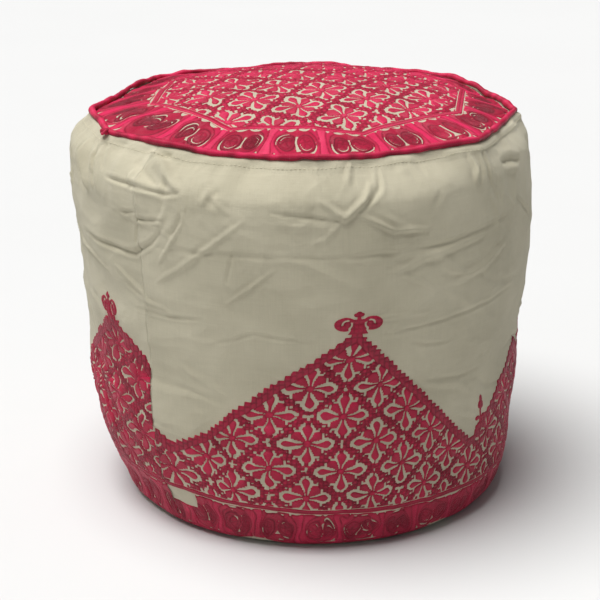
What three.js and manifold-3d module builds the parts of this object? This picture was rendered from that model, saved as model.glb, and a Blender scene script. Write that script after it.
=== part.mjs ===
// Round embroidered floor pouf: cotton cover with a corded top, zipped base, inner bag and stuffing.
// Millimetres, +Z up, origin at the centre of the footprint on the floor, -Y is the front.
// Angles around the body are degrees from the front (-Y) towards +X.
import * as THREE from 'three';
import { mergeVertices } from 'three/addons/utils/BufferGeometryUtils.js';
import Module from 'manifold-3d';

const wasm = await Module();
wasm.setup();

// ---- driving dimensions ----
const MAX_RADIUS = 225;          // widest ring of the body
const EDGE_HEIGHT = 381;         // height of the seam between side and top
const CROWN = 24;                // how far the stuffed top swells above that seam
const CLOTH = 2.0;               // cover cloth, seams included
const GAP = 0.35;                // clearance between touching pieces
const COLUMNS = 40;              // flats around the body
const SEAM_LEFT = -42;           // the two upright seams of the side
const SEAM_RIGHT = SEAM_LEFT + 180;
const COLUMN_STEP = 360 / COLUMNS;

const THREAD = 0.9;              // height of the satin stitching
const THREAD_LIFT = 1.2;         // clearance of a stitched field over the faceted cloth
const CORD_RADIUS = 2.75;        // crimson cord along the top edge
const HEM_RADIUS = 166;          // where the side cloth ends under the base

const CHANNEL_HALF = 146;        // half length of the raised zip placket
const CHANNEL_END = 154;         // the placket has closed again here
const CHANNEL_EDGE = 9;          // half width of the opening over the zip
const CHANNEL_RISE = 4.2;        // how far the placket lifts off the floor
const ZIP_CENTRE_Z = 6.7;        // height of the zip teeth
const ZIP_CLOSED_X = 120;        // slider place with the zip closed
const ZIP_OPEN_X = -105;         // slider place with the zip open

// Side profile: share of the edge height, share of the widest radius.
const PROFILE = [
  [0.004, 0.812], [0.02, 0.837], [0.06, 0.861], [0.13, 0.898], [0.24, 0.933], [0.45, 0.956],
  [0.64, 0.987], [0.8, 1.0], [0.94, 0.98],
];
// Corners of the top edge: angle, radius.
const TOP_CORNERS = [
  [-85, 207], [-60, 208], [-31, 196], [2, 200], [49, 209], [88, 206], [133, 208], [178, 209], [227, 208],
];
const EDGE_BULGE = 0.35;         // 0 is a straight-sided polygon, 1 is round
const INNER_OCTAGON = { radius: 157, turn: -74, x: 6, y: 10 };

const deg = THREE.MathUtils.degToRad;
const mix = THREE.MathUtils.lerp;

// ---- materials ----
function finish(name, color, roughness, metalness = 0) {
  return new THREE.MeshStandardMaterial({ name, color, roughness, metalness });
}
const CLOTH_FINISH = finish('cotton_cloth', 0xd9d4b8, 0.9);
const STITCH_FINISH = finish('crimson_thread', 0xb81c47, 0.6);
const CORD_FINISH = finish('crimson_cord', 0xc41e4e, 0.6);
const SEWING_FINISH = finish('sewing_thread', 0xcfc9ac, 0.8);
const TAPE_FINISH = finish('zip_tape', 0xd6d0b6, 0.85);
const TEETH_FINISH = finish('zip_teeth', 0xe4dfcb, 0.4);
const METAL_FINISH = finish('zip_metal', 0xb9b4a8, 0.3, 1);
const LINING_FINISH = finish('lining', 0xe9e6dc, 0.95);
const FILLING_FINISH = finish('filling', 0xf2f0ea, 1);

// ---- solids from grids ----
const group = new THREE.Group();

function signedVolume(points, faces) {
  let total = 0;
  for (const [i, j, k] of faces) {
    total += points[i].dot(new THREE.Vector3().crossVectors(points[j], points[k])) / 6;
  }
  return total;
}

function geometryFrom(points, faces) {
  const outward = signedVolume(points, faces) > 0;
  const geometry = new THREE.BufferGeometry();
  const flat = points.flatMap((p) => [p.x, p.y, p.z]);
  geometry.setAttribute('position', new THREE.Float32BufferAttribute(flat, 3));
  geometry.setIndex(faces.flatMap(([i, j, k]) => (outward ? [i, j, k] : [i, k, j])));
  return geometry;
}

// A closed slab between two surfaces, each a function of column and row.
function slab(columns, rows, top, bottom, ring = false) {
  const points = [];
  for (const surface of [top, bottom]) {
    for (const column of columns) {
      for (const row of rows) points.push(surface(column, row));
    }
  }
  const count = columns.length * rows.length;
  const at = (layer, i, j) => layer * count + (i % columns.length) * rows.length + j;
  const faces = [];
  const quad = (a, b, c, d) => faces.push([a, b, c], [a, c, d]);
  const spans = ring ? columns.length : columns.length - 1;
  for (let i = 0; i < spans; i++) {
    for (let j = 0; j < rows.length - 1; j++) {
      quad(at(0, i, j), at(0, i + 1, j), at(0, i + 1, j + 1), at(0, i, j + 1));
      quad(at(1, i, j), at(1, i, j + 1), at(1, i + 1, j + 1), at(1, i + 1, j));
    }
    const last = rows.length - 1;
    quad(at(0, i, 0), at(1, i, 0), at(1, i + 1, 0), at(0, i + 1, 0));
    quad(at(0, i, last), at(0, i + 1, last), at(1, i + 1, last), at(1, i, last));
  }
  if (!ring) {
    const end = columns.length - 1;
    for (let j = 0; j < rows.length - 1; j++) {
      quad(at(0, 0, j), at(0, 0, j + 1), at(1, 0, j + 1), at(1, 0, j));
      quad(at(0, end, j), at(1, end, j), at(1, end, j + 1), at(0, end, j + 1));
    }
  }
  return geometryFrom(points, faces);
}

// A closed round slab: rings around a centre point on its top and on its bottom.
function disc(columns, rings, top, bottom) {
  const points = [top(columns[0], 0), bottom(columns[0], 0)];
  for (const surface of [top, bottom]) {
    for (const ring of rings) {
      for (const column of columns) points.push(surface(column, ring));
    }
  }
  const n = columns.length;
  const at = (layer, i, j) => 2 + (layer * rings.length + j) * n + (i % n);
  const faces = [];
  const last = rings.length - 1;
  for (let i = 0; i < n; i++) {
    faces.push([0, at(0, i, 0), at(0, i + 1, 0)], [1, at(1, i + 1, 0), at(1, i, 0)]);
    for (let j = 0; j < last; j++) {
      faces.push([at(0, i, j), at(0, i, j + 1), at(0, i + 1, j + 1)]);
      faces.push([at(0, i, j), at(0, i + 1, j + 1), at(0, i + 1, j)]);
      faces.push([at(1, i, j), at(1, i + 1, j + 1), at(1, i, j + 1)]);
      faces.push([at(1, i, j), at(1, i + 1, j), at(1, i + 1, j + 1)]);
    }
    faces.push([at(0, i, last), at(1, i, last), at(1, i + 1, last)]);
    faces.push([at(0, i, last), at(1, i + 1, last), at(0, i + 1, last)]);
  }
  return geometryFrom(points, faces);
}

function add(name, geometry, material, parent = group) {
  const mesh = new THREE.Mesh(geometry, material);
  mesh.name = name;
  parent.add(mesh);
  return mesh;
}

// ---- the body's shape ----
function polar(angle, radius, z) {
  return new THREE.Vector3(radius * Math.sin(deg(angle)), -radius * Math.cos(deg(angle)), z);
}

function wrap(angle, low) {
  return low + (((angle - low) % 360) + 360) % 360;
}

// Radius of a polygon given by corners, swelled towards a circle by bulge.
function polygonRadius(corners, bulge, angle) {
  const start = corners[0][0];
  const a = wrap(angle, start);
  const closed = [...corners, [start + 360, corners[0][1]]];
  const k = closed.findIndex(([corner]) => corner > a + 1e-6);
  const [a0, r0] = closed[k - 1];
  const [a1, r1] = closed[k];
  const chord = (r0 * r1 * Math.sin(deg(a1 - a0)))
    / (r0 * Math.sin(deg(a - a0)) + r1 * Math.sin(deg(a1 - a)));
  return mix(chord, mix(r0, r1, (a - a0) / (a1 - a0)), bulge);
}

const edgeRadius = (angle) => polygonRadius(TOP_CORNERS, EDGE_BULGE, angle);

// Side surface rows from the hem under the base to the top seam: [z, radius(angle)].
const SIDE_TOP_Z = EDGE_HEIGHT - 3.5;
const SHOULDER_Z = EDGE_HEIGHT - 11;
const HEM_WIDTH = 9;             // flat hem under the body, resting on the floor
const SIDE_ROWS = [
  [0, () => HEM_RADIUS],
  [0, () => HEM_RADIUS + HEM_WIDTH],
  ...PROFILE.map(([h, r]) => [h * EDGE_HEIGHT, () => r * MAX_RADIUS]),
  [SHOULDER_Z, (angle) => mix(PROFILE.at(-1)[1] * MAX_RADIUS, edgeRadius(angle) + 2, 0.45)],
  [SIDE_TOP_Z, (angle) => edgeRadius(angle) + 1],
];
const FIRST_UPRIGHT_ROW = 2;

// Radius and outward slope of the side at a height, between the rows.
function sideAt(angle, z) {
  let k = FIRST_UPRIGHT_ROW;
  while (k < SIDE_ROWS.length - 2 && SIDE_ROWS[k + 1][0] < z) k++;
  const [z0, f0] = SIDE_ROWS[k];
  const [z1, f1] = SIDE_ROWS[k + 1];
  const r0 = f0(angle);
  const r1 = f1(angle);
  return { radius: mix(r0, r1, (z - z0) / (z1 - z0)), slope: (r1 - r0) / (z1 - z0) };
}

// A point on the faceted side, lifted along its normal.
function sidePoint(angle, z, lift) {
  const before = SEAM_LEFT + Math.floor((angle - SEAM_LEFT) / COLUMN_STEP + 1e-9) * COLUMN_STEP;
  const { radius: r0, slope } = sideAt(before, z);
  const { radius: r1 } = sideAt(before + COLUMN_STEP, z);
  const radius = polygonRadius([[before, r0], [before + COLUMN_STEP, r1], [before + 180, r0]], 0, angle);
  const along = 1 / Math.hypot(1, slope);
  return polar(angle, radius + lift * along, z - lift * slope * along);
}

function angles(from, to, step, extra = []) {
  const list = [from, to, ...extra];
  const first = Math.ceil((from - SEAM_LEFT) / step + 1e-6);
  for (let k = first; SEAM_LEFT + k * step < to - 1e-6; k++) list.push(SEAM_LEFT + k * step);
  const sorted = list.filter((a) => a >= from && a <= to).sort((a, b) => a - b);
  return sorted.filter((a, i) => i === 0 || a - sorted[i - 1] > 0.4);
}

// ---- cover: side panels ----
const RING_ANGLES = Array.from({ length: COLUMNS }, (_, k) => SEAM_LEFT + k * COLUMN_STEP);
const ROW_NUMBERS = SIDE_ROWS.map((_, k) => k);

function sideRowPoint(angle, row, depth) {
  const [z, radius] = SIDE_ROWS[row];
  if (row < FIRST_UPRIGHT_ROW) return polar(angle, radius(angle), z + depth);
  if (row === SIDE_ROWS.length - 1) return polar(angle, radius(angle) - depth, z);
  const before = SIDE_ROWS[row - 1];
  const after = SIDE_ROWS[row + 1];
  const rise = after[0] - before[0];
  const spread = after[1](angle) - before[1](angle);
  const length = Math.hypot(rise, spread);
  return polar(angle, radius(angle) - (depth * rise) / length, z + (depth * spread) / length);
}

const SEAM_GAP = 0.1;            // degrees left open at each upright seam
for (const [name, from] of [['side_panel_front', SEAM_LEFT], ['side_panel_back', SEAM_RIGHT]]) {
  const columns = angles(from, from + 180, COLUMN_STEP);
  columns[0] += SEAM_GAP;
  columns[columns.length - 1] -= SEAM_GAP;
  add(name, slab(columns, ROW_NUMBERS, (a, r) => sideRowPoint(a, r, 0),
    (a, r) => sideRowPoint(a, r, CLOTH)), CLOTH_FINISH);
}

// Pressed-open seam allowances behind the two upright seams.
const ALLOWANCE_HALF = 2.6;      // degrees each side of the seam, about 10 mm
const ALLOWANCE_THICK = 1.0;
const ALLOWANCE_INSET = CLOTH + 1.2;  // behind the cloth and clear of its flats
const ALLOWANCE_ROWS = ROW_NUMBERS.slice(FIRST_UPRIGHT_ROW + 2, -1);
for (const [name, seam] of [['side_seam_left', SEAM_LEFT], ['side_seam_right', SEAM_RIGHT]]) {
  const outer = (a, r) => sideRowPoint(a, r, ALLOWANCE_INSET);
  const inner = (a, r) => sideRowPoint(a, r, ALLOWANCE_INSET + ALLOWANCE_THICK);
  const columns = [seam - ALLOWANCE_HALF, seam, seam + ALLOWANCE_HALF];
  add(name, slab(columns, ALLOWANCE_ROWS, outer, inner), CLOTH_FINISH);
}

// ---- cover: top panel ----
const TOP_RIM = 2.5;             // how far the top panel stops short of the edge radius
const TOP_RINGS = [0.35, 0.65, 0.86, 1];
const domeHeight = (share) => EDGE_HEIGHT - 1 + CROWN * (1 - share ** 2.2);

function topPoint(angle, share, lift) {
  return polar(angle, share * (edgeRadius(angle) - TOP_RIM), domeHeight(share) + lift);
}
add('top_panel', disc(RING_ANGLES, TOP_RINGS, (a, s) => topPoint(a, s, 0),
  (a, s) => topPoint(a, s, -CLOTH)), CLOTH_FINISH);

// A point over the top at a plan radius, lifted off the cloth.
function overTop(angle, radius, lift) {
  const share = radius / (edgeRadius(angle) - TOP_RIM);
  return polar(angle, radius, domeHeight(share) + lift);
}

// Plan radius of the inner octagon, seen from the body's axis.
function octagonRadius(angle, radius) {
  const ray = polar(angle, 1, 0);
  const apothem = radius * Math.cos(deg(22.5));
  let nearest = Infinity;
  for (let k = 0; k < 8; k++) {
    const normal = polar(INNER_OCTAGON.turn + 22.5 + 45 * k, 1, 0);
    const facing = normal.dot(ray);
    const offset = apothem + normal.x * INNER_OCTAGON.x + normal.y * INNER_OCTAGON.y;
    if (facing > 1e-6) nearest = Math.min(nearest, offset / facing);
  }
  return nearest;
}

// ---- cover: crimson cord, its knot and the topstitching ----
const CORD_SEGMENTS = COLUMNS;
const CORD_SIDES = 6;
const CORD_Z = EDGE_HEIGHT - 1 + 2 * GAP + CORD_RADIUS;
const CORD_INSET = 3.2;          // cord centre, inward of the edge radius
const KNOT_ANGLE = -60;

function roundSection(radius, sides) {
  const shape = new THREE.Shape();
  for (let k = 0; k < sides; k++) {
    const turn = (k / sides) * Math.PI * 2;
    const put = k === 0 ? 'moveTo' : 'lineTo';
    shape[put](radius * Math.cos(turn), radius * Math.sin(turn));
  }
  return shape;
}

// Ring of round section: a slab whose rows are the section's corners, closed on itself.
function cordRing(radiusAt, z, radius, sides) {
  const section = roundSection(radius, sides).getPoints().slice(0, sides);
  const points = [];
  for (const angle of RING_ANGLES) {
    for (const corner of section) points.push(polar(angle, radiusAt(angle) + corner.x, z + corner.y));
  }
  const at = (i, j) => (i % CORD_SEGMENTS) * sides + (j % sides);
  const faces = [];
  for (let i = 0; i < CORD_SEGMENTS; i++) {
    for (let j = 0; j < sides; j++) {
      faces.push([at(i, j), at(i + 1, j), at(i + 1, j + 1)], [at(i, j), at(i + 1, j + 1), at(i, j + 1)]);
    }
  }
  return geometryFrom(points, faces);
}
add('top_edge_cord', cordRing((a) => edgeRadius(a) - CORD_INSET, CORD_Z, CORD_RADIUS, CORD_SIDES),
  CORD_FINISH);

const KNOT_RADIUS = 4.2;
const knot = add('edge_cord_knot', new THREE.SphereGeometry(KNOT_RADIUS, 10, 7), CORD_FINISH);
const KNOT_OUT = CORD_RADIUS + KNOT_RADIUS + 2 * GAP;
knot.position.copy(polar(KNOT_ANGLE, edgeRadius(KNOT_ANGLE) - CORD_INSET + KNOT_OUT, CORD_Z));

const STITCH_RADIUS = 0.5;
const STITCH_Z = EDGE_HEIGHT - 6.5;
const STITCH_OUT = 2.2;          // outside the cloth's flats
add('top_stitching', cordRing((a) => sideAt(a, STITCH_Z).radius + STITCH_OUT, STITCH_Z,
  STITCH_RADIUS, 4), SEWING_FINISH);

// ---- embroidery on the top ----
const LINE_HALF = 3.2;           // half width of the inner octagon's line
function topBand(innerAt, outerAt, steps) {
  const rows = Array.from({ length: steps + 1 }, (_, k) => k / steps);
  const place = (lift) => (a, v) => overTop(a, mix(innerAt(a), outerAt(a), v), lift);
  return slab(RING_ANGLES, rows, place(THREAD_LIFT + THREAD), place(THREAD_LIFT), true);
}
const borderOuter = (a) => edgeRadius(a) - CORD_INSET - CORD_RADIUS - 2 * GAP;
const lineOuter = (a) => octagonRadius(a, INNER_OCTAGON.radius) + LINE_HALF;
const lineInner = (a) => octagonRadius(a, INNER_OCTAGON.radius) - LINE_HALF;
add('top_border_embroidery', topBand((a) => lineOuter(a) + GAP, borderOuter, 1), STITCH_FINISH);
add('top_inner_line', topBand(lineInner, lineOuter, 1), STITCH_FINISH);
const FIELD_RINGS = [0.46, 0.86, 1];
const fieldPoint = (lift) => (a, s) => overTop(a, s * (lineInner(a) - GAP), lift);
add('top_field_embroidery', disc(RING_ANGLES, FIELD_RINGS, fieldPoint(THREAD_LIFT + THREAD),
  fieldPoint(THREAD_LIFT)), STITCH_FINISH);

// ---- embroidery on the side ----
const LINE_WIDTH = 5;            // the pair of lines between the lattice and the border
const BORDER_FOOT = 6;           // lowest stitch of the border above the floor
const LINE_MEAN = 41.5;
const LINE_SWAY = 8;             // the line sits higher to the left than to the right
const lineHeight = (angle) => LINE_MEAN - LINE_SWAY * Math.sin(deg(angle - 9));

// Upper outline of the lattice: angle, height, in order.
const FRONT_OUTLINE = [[-41.6, 104], [-37, 98], [11.5, 228], [53, 84], [58.5, 112], [66, 136], [84, 150],
  [97, 222], [130, 84], [137.6, 114]];
const BACK_OUTLINE = [[138.4, 170], [167, 84], [212.5, 224], [258, 88], [304, 214], [317.6, 181]];

function outlineHeight(outline, angle) {
  const k = Math.max(1, outline.findIndex(([a]) => a >= angle - 1e-6));
  const [a0, z0] = outline[k - 1];
  const [a1, z1] = outline[k];
  return mix(z0, z1, (angle - a0) / (a1 - a0));
}

function sideBand(from, to, lowAt, highAt, rowCount, extra = []) {
  const columns = angles(from, to, COLUMN_STEP, extra);
  const rows = Array.from({ length: rowCount + 1 }, (_, k) => k / rowCount);
  const place = (lift) => (a, v) => sidePoint(a, mix(lowAt(a), highAt(a), v), lift);
  return slab(columns, rows, place(THREAD_LIFT + THREAD), place(THREAD_LIFT));
}

const BORDER_START_FRONT = -32.4; // the front panel's border leaves a bare patch beside the seam
const SIDES = [
  { tag: 'front', outline: FRONT_OUTLINE, borderFrom: BORDER_START_FRONT },
  { tag: 'back', outline: BACK_OUTLINE, borderFrom: SEAM_RIGHT + 0.4 },
];
for (const { tag, outline, borderFrom } of SIDES) {
  const from = outline[0][0];
  const to = outline.at(-1)[0];
  const peaks = outline.map(([a]) => a);
  const lineTop = (a) => lineHeight(a) + LINE_WIDTH;
  add(`lattice_embroidery_${tag}`, sideBand(from, to, (a) => lineTop(a) + GAP,
    (a) => outlineHeight(outline, a), 6, peaks), STITCH_FINISH);
  add(`border_line_${tag}`, sideBand(from, to, lineHeight, lineTop, 1), STITCH_FINISH);
  add(`border_embroidery_${tag}`, sideBand(borderFrom, to, () => BORDER_FOOT,
    (a) => lineHeight(a) - GAP, 2), STITCH_FINISH);
}

// Flat stitched ornament, standing on the cloth at an angle and height.
const ORNAMENT_MIDDLE = 15;      // the side's slope is taken this far above an ornament's foot
function placeOnSide(mesh, angle, z) {
  const { slope } = sideAt(angle, z + ORNAMENT_MIDDLE);
  const out = polar(angle, 1, -slope).normalize();
  const right = polar(angle + 90, 1, 0);
  const up = new THREE.Vector3().crossVectors(out, right);
  mesh.quaternion.setFromRotationMatrix(new THREE.Matrix4().makeBasis(right, up, out));
  const foot = sideAt(angle, z).radius;
  mesh.position.copy(polar(angle, foot, z)).addScaledVector(out, THREAD_LIFT + THREAD);
}

// Apex ornament: a stem, two scrolls curling outwards and a bud.
function apexShape() {
  const half = [[3, 0], [3, 3], [8, 4], [13, 2.5], [20, 3.5], [22, 9], [19, 15], [12, 16], [8, 14],
    [3, 15], [3, 18], [5, 19.5], [2, 22]];
  const mirrored = half.map(([x, y]) => [-x, y]).reverse();
  const points = [...half, ...mirrored].map(([x, y]) => new THREE.Vector2(x, y));
  return new THREE.Shape(points);
}
// Valley ornament: a stem with three pairs of leaves and a bulb.
function valleyShape() {
  const half = [[1.5, 0], [1.5, 6], [7, 10], [7, 14], [2, 14], [2, 19], [8, 23], [8, 27], [2, 27],
    [2, 32], [6, 35], [6, 39], [2, 39], [6, 45], [4, 51]];
  const mirrored = half.map(([x, y]) => [-x, y]).reverse();
  const points = [...half, ...mirrored].map(([x, y]) => new THREE.Vector2(x, y));
  return new THREE.Shape(points);
}
const APEXES = [[11.5, 228], [97, 222], [212.5, 224], [304, 214]];
const VALLEYS = [[53, 84], [130, 84], [167, 84], [258, 88]];
const ORNAMENT_RISE = 2;         // clear of the lattice's upper outline
const ornaments = [['apex_ornament', APEXES, apexShape], ['valley_ornament', VALLEYS, valleyShape]];
for (const [stem, places, shape] of ornaments) {
  places.forEach(([angle, z], k) => {
    const geometry = new THREE.ExtrudeGeometry(shape(), { depth: THREAD, bevelEnabled: false });
    const mesh = add(`${stem}_${k + 1}`, geometry, STITCH_FINISH);
    placeOnSide(mesh, angle, z + ORNAMENT_RISE);
  });
}

// ---- base: two half panels that part at the zip ----
const BASE_RADIUS = HEM_RADIUS - 0.6;
const BASE_STATIONS = [0, 23, 46, 68, 88, 106, 122, 135, CHANNEL_HALF, CHANNEL_END, 160, 163];
const PLACKET_FLAT = 20;         // the placket is level out to here, then slopes to the floor
const PLACKET_FOOT = 26;
const HALF_SEAM = 0.2;

function smoothFall(value, start, end) {
  return 1 - THREE.MathUtils.clamp((value - start) / (end - start), 0, 1);
}
function basePoint(side, x, row, lift) {
  const open = smoothFall(Math.abs(x), CHANNEL_HALF, CHANNEL_END);
  const inner = mix(HALF_SEAM, CHANNEL_EDGE, open);
  const outer = Math.sqrt(BASE_RADIUS ** 2 - x ** 2);
  const far = [0.35, 0.7, 1].map((share) => mix(PLACKET_FOOT, outer, share));
  const y = [inner, PLACKET_FLAT, PLACKET_FOOT, ...far][row];
  const rise = CHANNEL_RISE * open * smoothFall(y, PLACKET_FLAT, PLACKET_FOOT);
  return new THREE.Vector3(x, side * y, rise + lift);
}
const stations = [...BASE_STATIONS.slice(1).map((x) => -x).reverse(), ...BASE_STATIONS];
for (const [name, side] of [['base_panel_front', -1], ['base_panel_rear', 1]]) {
  add(name, slab(stations, [0, 1, 2, 3, 4, 5], (x, row) => basePoint(side, x, row, CLOTH),
    (x, row) => basePoint(side, x, row, 0)), CLOTH_FINISH);
}

// ---- zip ----
const TEETH_HEIGHT = 2.2;
const TEETH_INNER = 0.8;
const TEETH_OUTER = 3.1;
const TEETH_OVERRUN = 6.5;       // the teeth run past the slider at both ends
const TEETH_END_CLOSED = ZIP_CLOSED_X + TEETH_OVERRUN;
const TEETH_END_OPEN = ZIP_OPEN_X - TEETH_OVERRUN;
const STOP_HEIGHT = TEETH_HEIGHT + 0.6;
const TOP_STOP = 3;              // lengths of the stops
const BOTTOM_STOP = 3.5;
const TAPE_OVERRUN = 10;         // tape past the teeth at both ends
const TAPE_THICK = 0.6;
const TAPE_WIDTH = 16;

function box(width, depth, height, x, y, z) {
  const geometry = new THREE.BoxGeometry(width, depth, height);
  geometry.translate(x, y, z);
  return geometry;
}
const teethLength = TEETH_END_CLOSED - TEETH_END_OPEN;
const teethMiddle = (TEETH_END_CLOSED + TEETH_END_OPEN) / 2;
for (const [name, side] of [['front', -1], ['rear', 1]]) {
  const teethWidth = TEETH_OUTER - TEETH_INNER;
  const teethY = side * (TEETH_OUTER + TEETH_INNER) / 2;
  add(`zip_teeth_${name}`, box(teethLength, teethWidth, TEETH_HEIGHT, teethMiddle, teethY, ZIP_CENTRE_Z),
    TEETH_FINISH);
  const tapeY = side * (TEETH_OUTER + GAP + TAPE_WIDTH / 2);
  const tapeZ = CHANNEL_RISE + CLOTH + GAP + TAPE_THICK / 2;
  const tapeLength = teethLength + 2 * TAPE_OVERRUN;
  add(`zip_tape_${name}`, box(tapeLength, TAPE_WIDTH, TAPE_THICK, teethMiddle, tapeY, tapeZ), TAPE_FINISH);
  const stopX = TEETH_END_CLOSED + GAP + TOP_STOP / 2;
  add(`zip_top_stop_${name}`, box(TOP_STOP, teethWidth, STOP_HEIGHT, stopX, teethY, ZIP_CENTRE_Z),
    METAL_FINISH);
}
const bottomStopX = TEETH_END_OPEN - GAP - BOTTOM_STOP / 2;
add('zip_bottom_stop', box(BOTTOM_STOP, TEETH_OUTER * 2, STOP_HEIGHT, bottomStopX, 0, ZIP_CENTRE_Z),
  METAL_FINISH);

// Solids for the slider: boxes joined into one closed body.
function toManifold(geometry) {
  const bare = geometry.clone();
  bare.deleteAttribute('normal');
  bare.deleteAttribute('uv');
  const merged = mergeVertices(bare, 1e-4);
  return new wasm.Manifold(new wasm.Mesh({
    numProp: 3,
    vertProperties: new Float32Array(merged.attributes.position.array),
    triVerts: new Uint32Array(merged.index.array),
  }));
}
function joined(geometries) {
  const solid = geometries.map(toManifold).reduce((a, b) => a.add(b));
  const mesh = solid.getMesh();
  const geometry = new THREE.BufferGeometry();
  geometry.setAttribute('position', new THREE.BufferAttribute(new Float32Array(mesh.vertProperties), 3));
  geometry.setIndex(new THREE.BufferAttribute(new Uint32Array(mesh.triVerts), 1));
  return geometry;
}

// Slider, measured from its own centre: two blades, side flanges, a post and a bail underneath.
const BLADE = 0.9;
const BLADE_CLEAR = 0.4;
const SLIDER_LENGTH = 11;
const SLIDER_WIDTH = 9.6;
const FLANGE = 0.9;
const POST_BACK = 3;             // the post stands between these, from the slider's wide end
const POST_FRONT = 0.5;
const POST_HALF = 0.45;
const BAIL_HALF = 3.3;
const BAIL_WIDTH = 2;
const BAIL_WIRE = 0.8;
const lowerBlade = -TEETH_HEIGHT / 2 - BLADE_CLEAR - BLADE;
const upperBlade = TEETH_HEIGHT / 2 + BLADE_CLEAR;
const tapeLow = CHANNEL_RISE + CLOTH + GAP - ZIP_CENTRE_Z;
const HINGE_DROP = 0.9;          // puller axis under the lower blade
const bailLow = lowerBlade - 2 * HINGE_DROP - BAIL_WIRE;

function spanBox(x0, x1, y0, y1, z0, z1) {
  return box(x1 - x0, y1 - y0, z1 - z0, (x0 + x1) / 2, (y0 + y1) / 2, (z0 + z1) / 2);
}
function sliderGeometry() {
  const half = SLIDER_LENGTH / 2;
  const wide = SLIDER_WIDTH / 2;
  const pieces = [
    spanBox(-half, half, -wide, wide, lowerBlade, lowerBlade + BLADE),
    spanBox(-half, half, -wide, wide, upperBlade, upperBlade + BLADE),
    spanBox(half - POST_BACK, half - POST_FRONT, -POST_HALF, POST_HALF, lowerBlade + BLADE / 2,
      upperBlade + BLADE / 2),
    spanBox(-BAIL_HALF, BAIL_HALF, -BAIL_WIDTH / 2, BAIL_WIDTH / 2, bailLow, bailLow + BAIL_WIRE),
  ];
  for (const side of [-1, 1]) {
    const inner = side > 0 ? wide - FLANGE : -wide;
    const tapeHigh = tapeLow + TAPE_THICK;
    pieces.push(spanBox(-half, half, inner, inner + FLANGE, lowerBlade + BLADE / 2, tapeLow - GAP));
    pieces.push(spanBox(-half, half, inner, inner + FLANGE, tapeHigh + GAP, upperBlade + BLADE / 2));
    const leg = side > 0 ? BAIL_HALF - BAIL_WIRE : -BAIL_HALF;
    pieces.push(spanBox(leg, leg + BAIL_WIRE, -BAIL_WIDTH / 2, BAIL_WIDTH / 2,
      bailLow + BAIL_WIRE / 2, lowerBlade + BLADE / 2));
  }
  return joined(pieces);
}

// Puller, measured from its hinge: a ring around the bail, then a flat tongue towards -X.
const PULLER_THICK = 1.0;
const PULLER_LENGTH = 24;
const PULLER_EYE = 0.6;          // the ring's end bar reaches this far each side of the axis
const RING_HALF = 2.4;           // half width of the ring
const NECK_X = -6;               // the ring widens into the tongue from here
const TONGUE_X = -9;             // to here
const TONGUE_HALF = 3.2;
const RING_HOLE_HALF = 1.35;
const RING_HOLE_X = -4.6;        // far end of the ring's hole
const GRIP_HOLE_RADIUS = 1.4;
const GRIP_HOLE_X = -19;
function pullerShape() {
  const shape = new THREE.Shape();
  const endX = -PULLER_LENGTH + TONGUE_HALF;
  shape.moveTo(PULLER_EYE, -RING_HALF);
  shape.lineTo(PULLER_EYE, RING_HALF);
  shape.lineTo(NECK_X, RING_HALF);
  shape.lineTo(TONGUE_X, TONGUE_HALF);
  shape.lineTo(endX, TONGUE_HALF);
  shape.absarc(endX, 0, TONGUE_HALF, Math.PI / 2, Math.PI * 1.5, false);
  shape.lineTo(TONGUE_X, -TONGUE_HALF);
  shape.lineTo(NECK_X, -RING_HALF);
  shape.closePath();
  const ringHole = new THREE.Path();
  ringHole.moveTo(-PULLER_EYE, -RING_HOLE_HALF);
  ringHole.lineTo(-PULLER_EYE, RING_HOLE_HALF);
  ringHole.lineTo(RING_HOLE_X, RING_HOLE_HALF);
  ringHole.lineTo(RING_HOLE_X, -RING_HOLE_HALF);
  ringHole.closePath();
  const gripHole = new THREE.Path();
  gripHole.absarc(GRIP_HOLE_X, 0, GRIP_HOLE_RADIUS, 0, Math.PI * 2, true);
  shape.holes.push(ringHole, gripHole);
  return shape;
}

const slider = new THREE.Group();
slider.position.set(ZIP_CLOSED_X, 0, ZIP_CENTRE_Z);
group.add(slider);
add('zip_slider', sliderGeometry(), METAL_FINISH, slider);
const pullerGeometry = new THREE.ExtrudeGeometry(pullerShape(),
  { depth: PULLER_THICK, bevelEnabled: false, curveSegments: 6 });
const puller = add('zip_puller', pullerGeometry, METAL_FINISH, slider);
puller.position.set(0, 0, lowerBlade - HINGE_DROP - PULLER_THICK / 2);

// ---- inner bag and stuffing ----
const BAG = 1.2;                 // bag cloth
const BAG_INSET = CLOTH + 2 * GAP + ALLOWANCE_THICK + 1;
const BAG_BASE_Z = 11;
const EVEN_ANGLES = RING_ANGLES.filter((_, k) => k % 2 === 0);
const BAG_ROWS = ROW_NUMBERS.slice(FIRST_UPRIGHT_ROW + 2, -2);
const bagSide = (inset) => (a, r) => sideRowPoint(a, r, inset);
add('inner_bag_side', slab(EVEN_ANGLES, BAG_ROWS, bagSide(BAG_INSET), bagSide(BAG_INSET + BAG), true),
  LINING_FINISH);

const BAG_BASE_RADIUS = 182;
const flatDisc = (z) => (a, s) => polar(a, s * BAG_BASE_RADIUS, z);
add('inner_bag_base', disc(EVEN_ANGLES, [1], flatDisc(BAG_BASE_Z + BAG),
  flatDisc(BAG_BASE_Z)), LINING_FINISH);

const UNDER_TOP = CLOTH + 1;
const BAG_TOP_SHARE = 0.95;
const underTop = (depth) => (a, s) => topPoint(a, s * BAG_TOP_SHARE, -depth);
add('inner_bag_top', disc(EVEN_ANGLES, [0.4, 0.75, 1], underTop(UNDER_TOP), underTop(UNDER_TOP + BAG)),
  LINING_FINISH);

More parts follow.
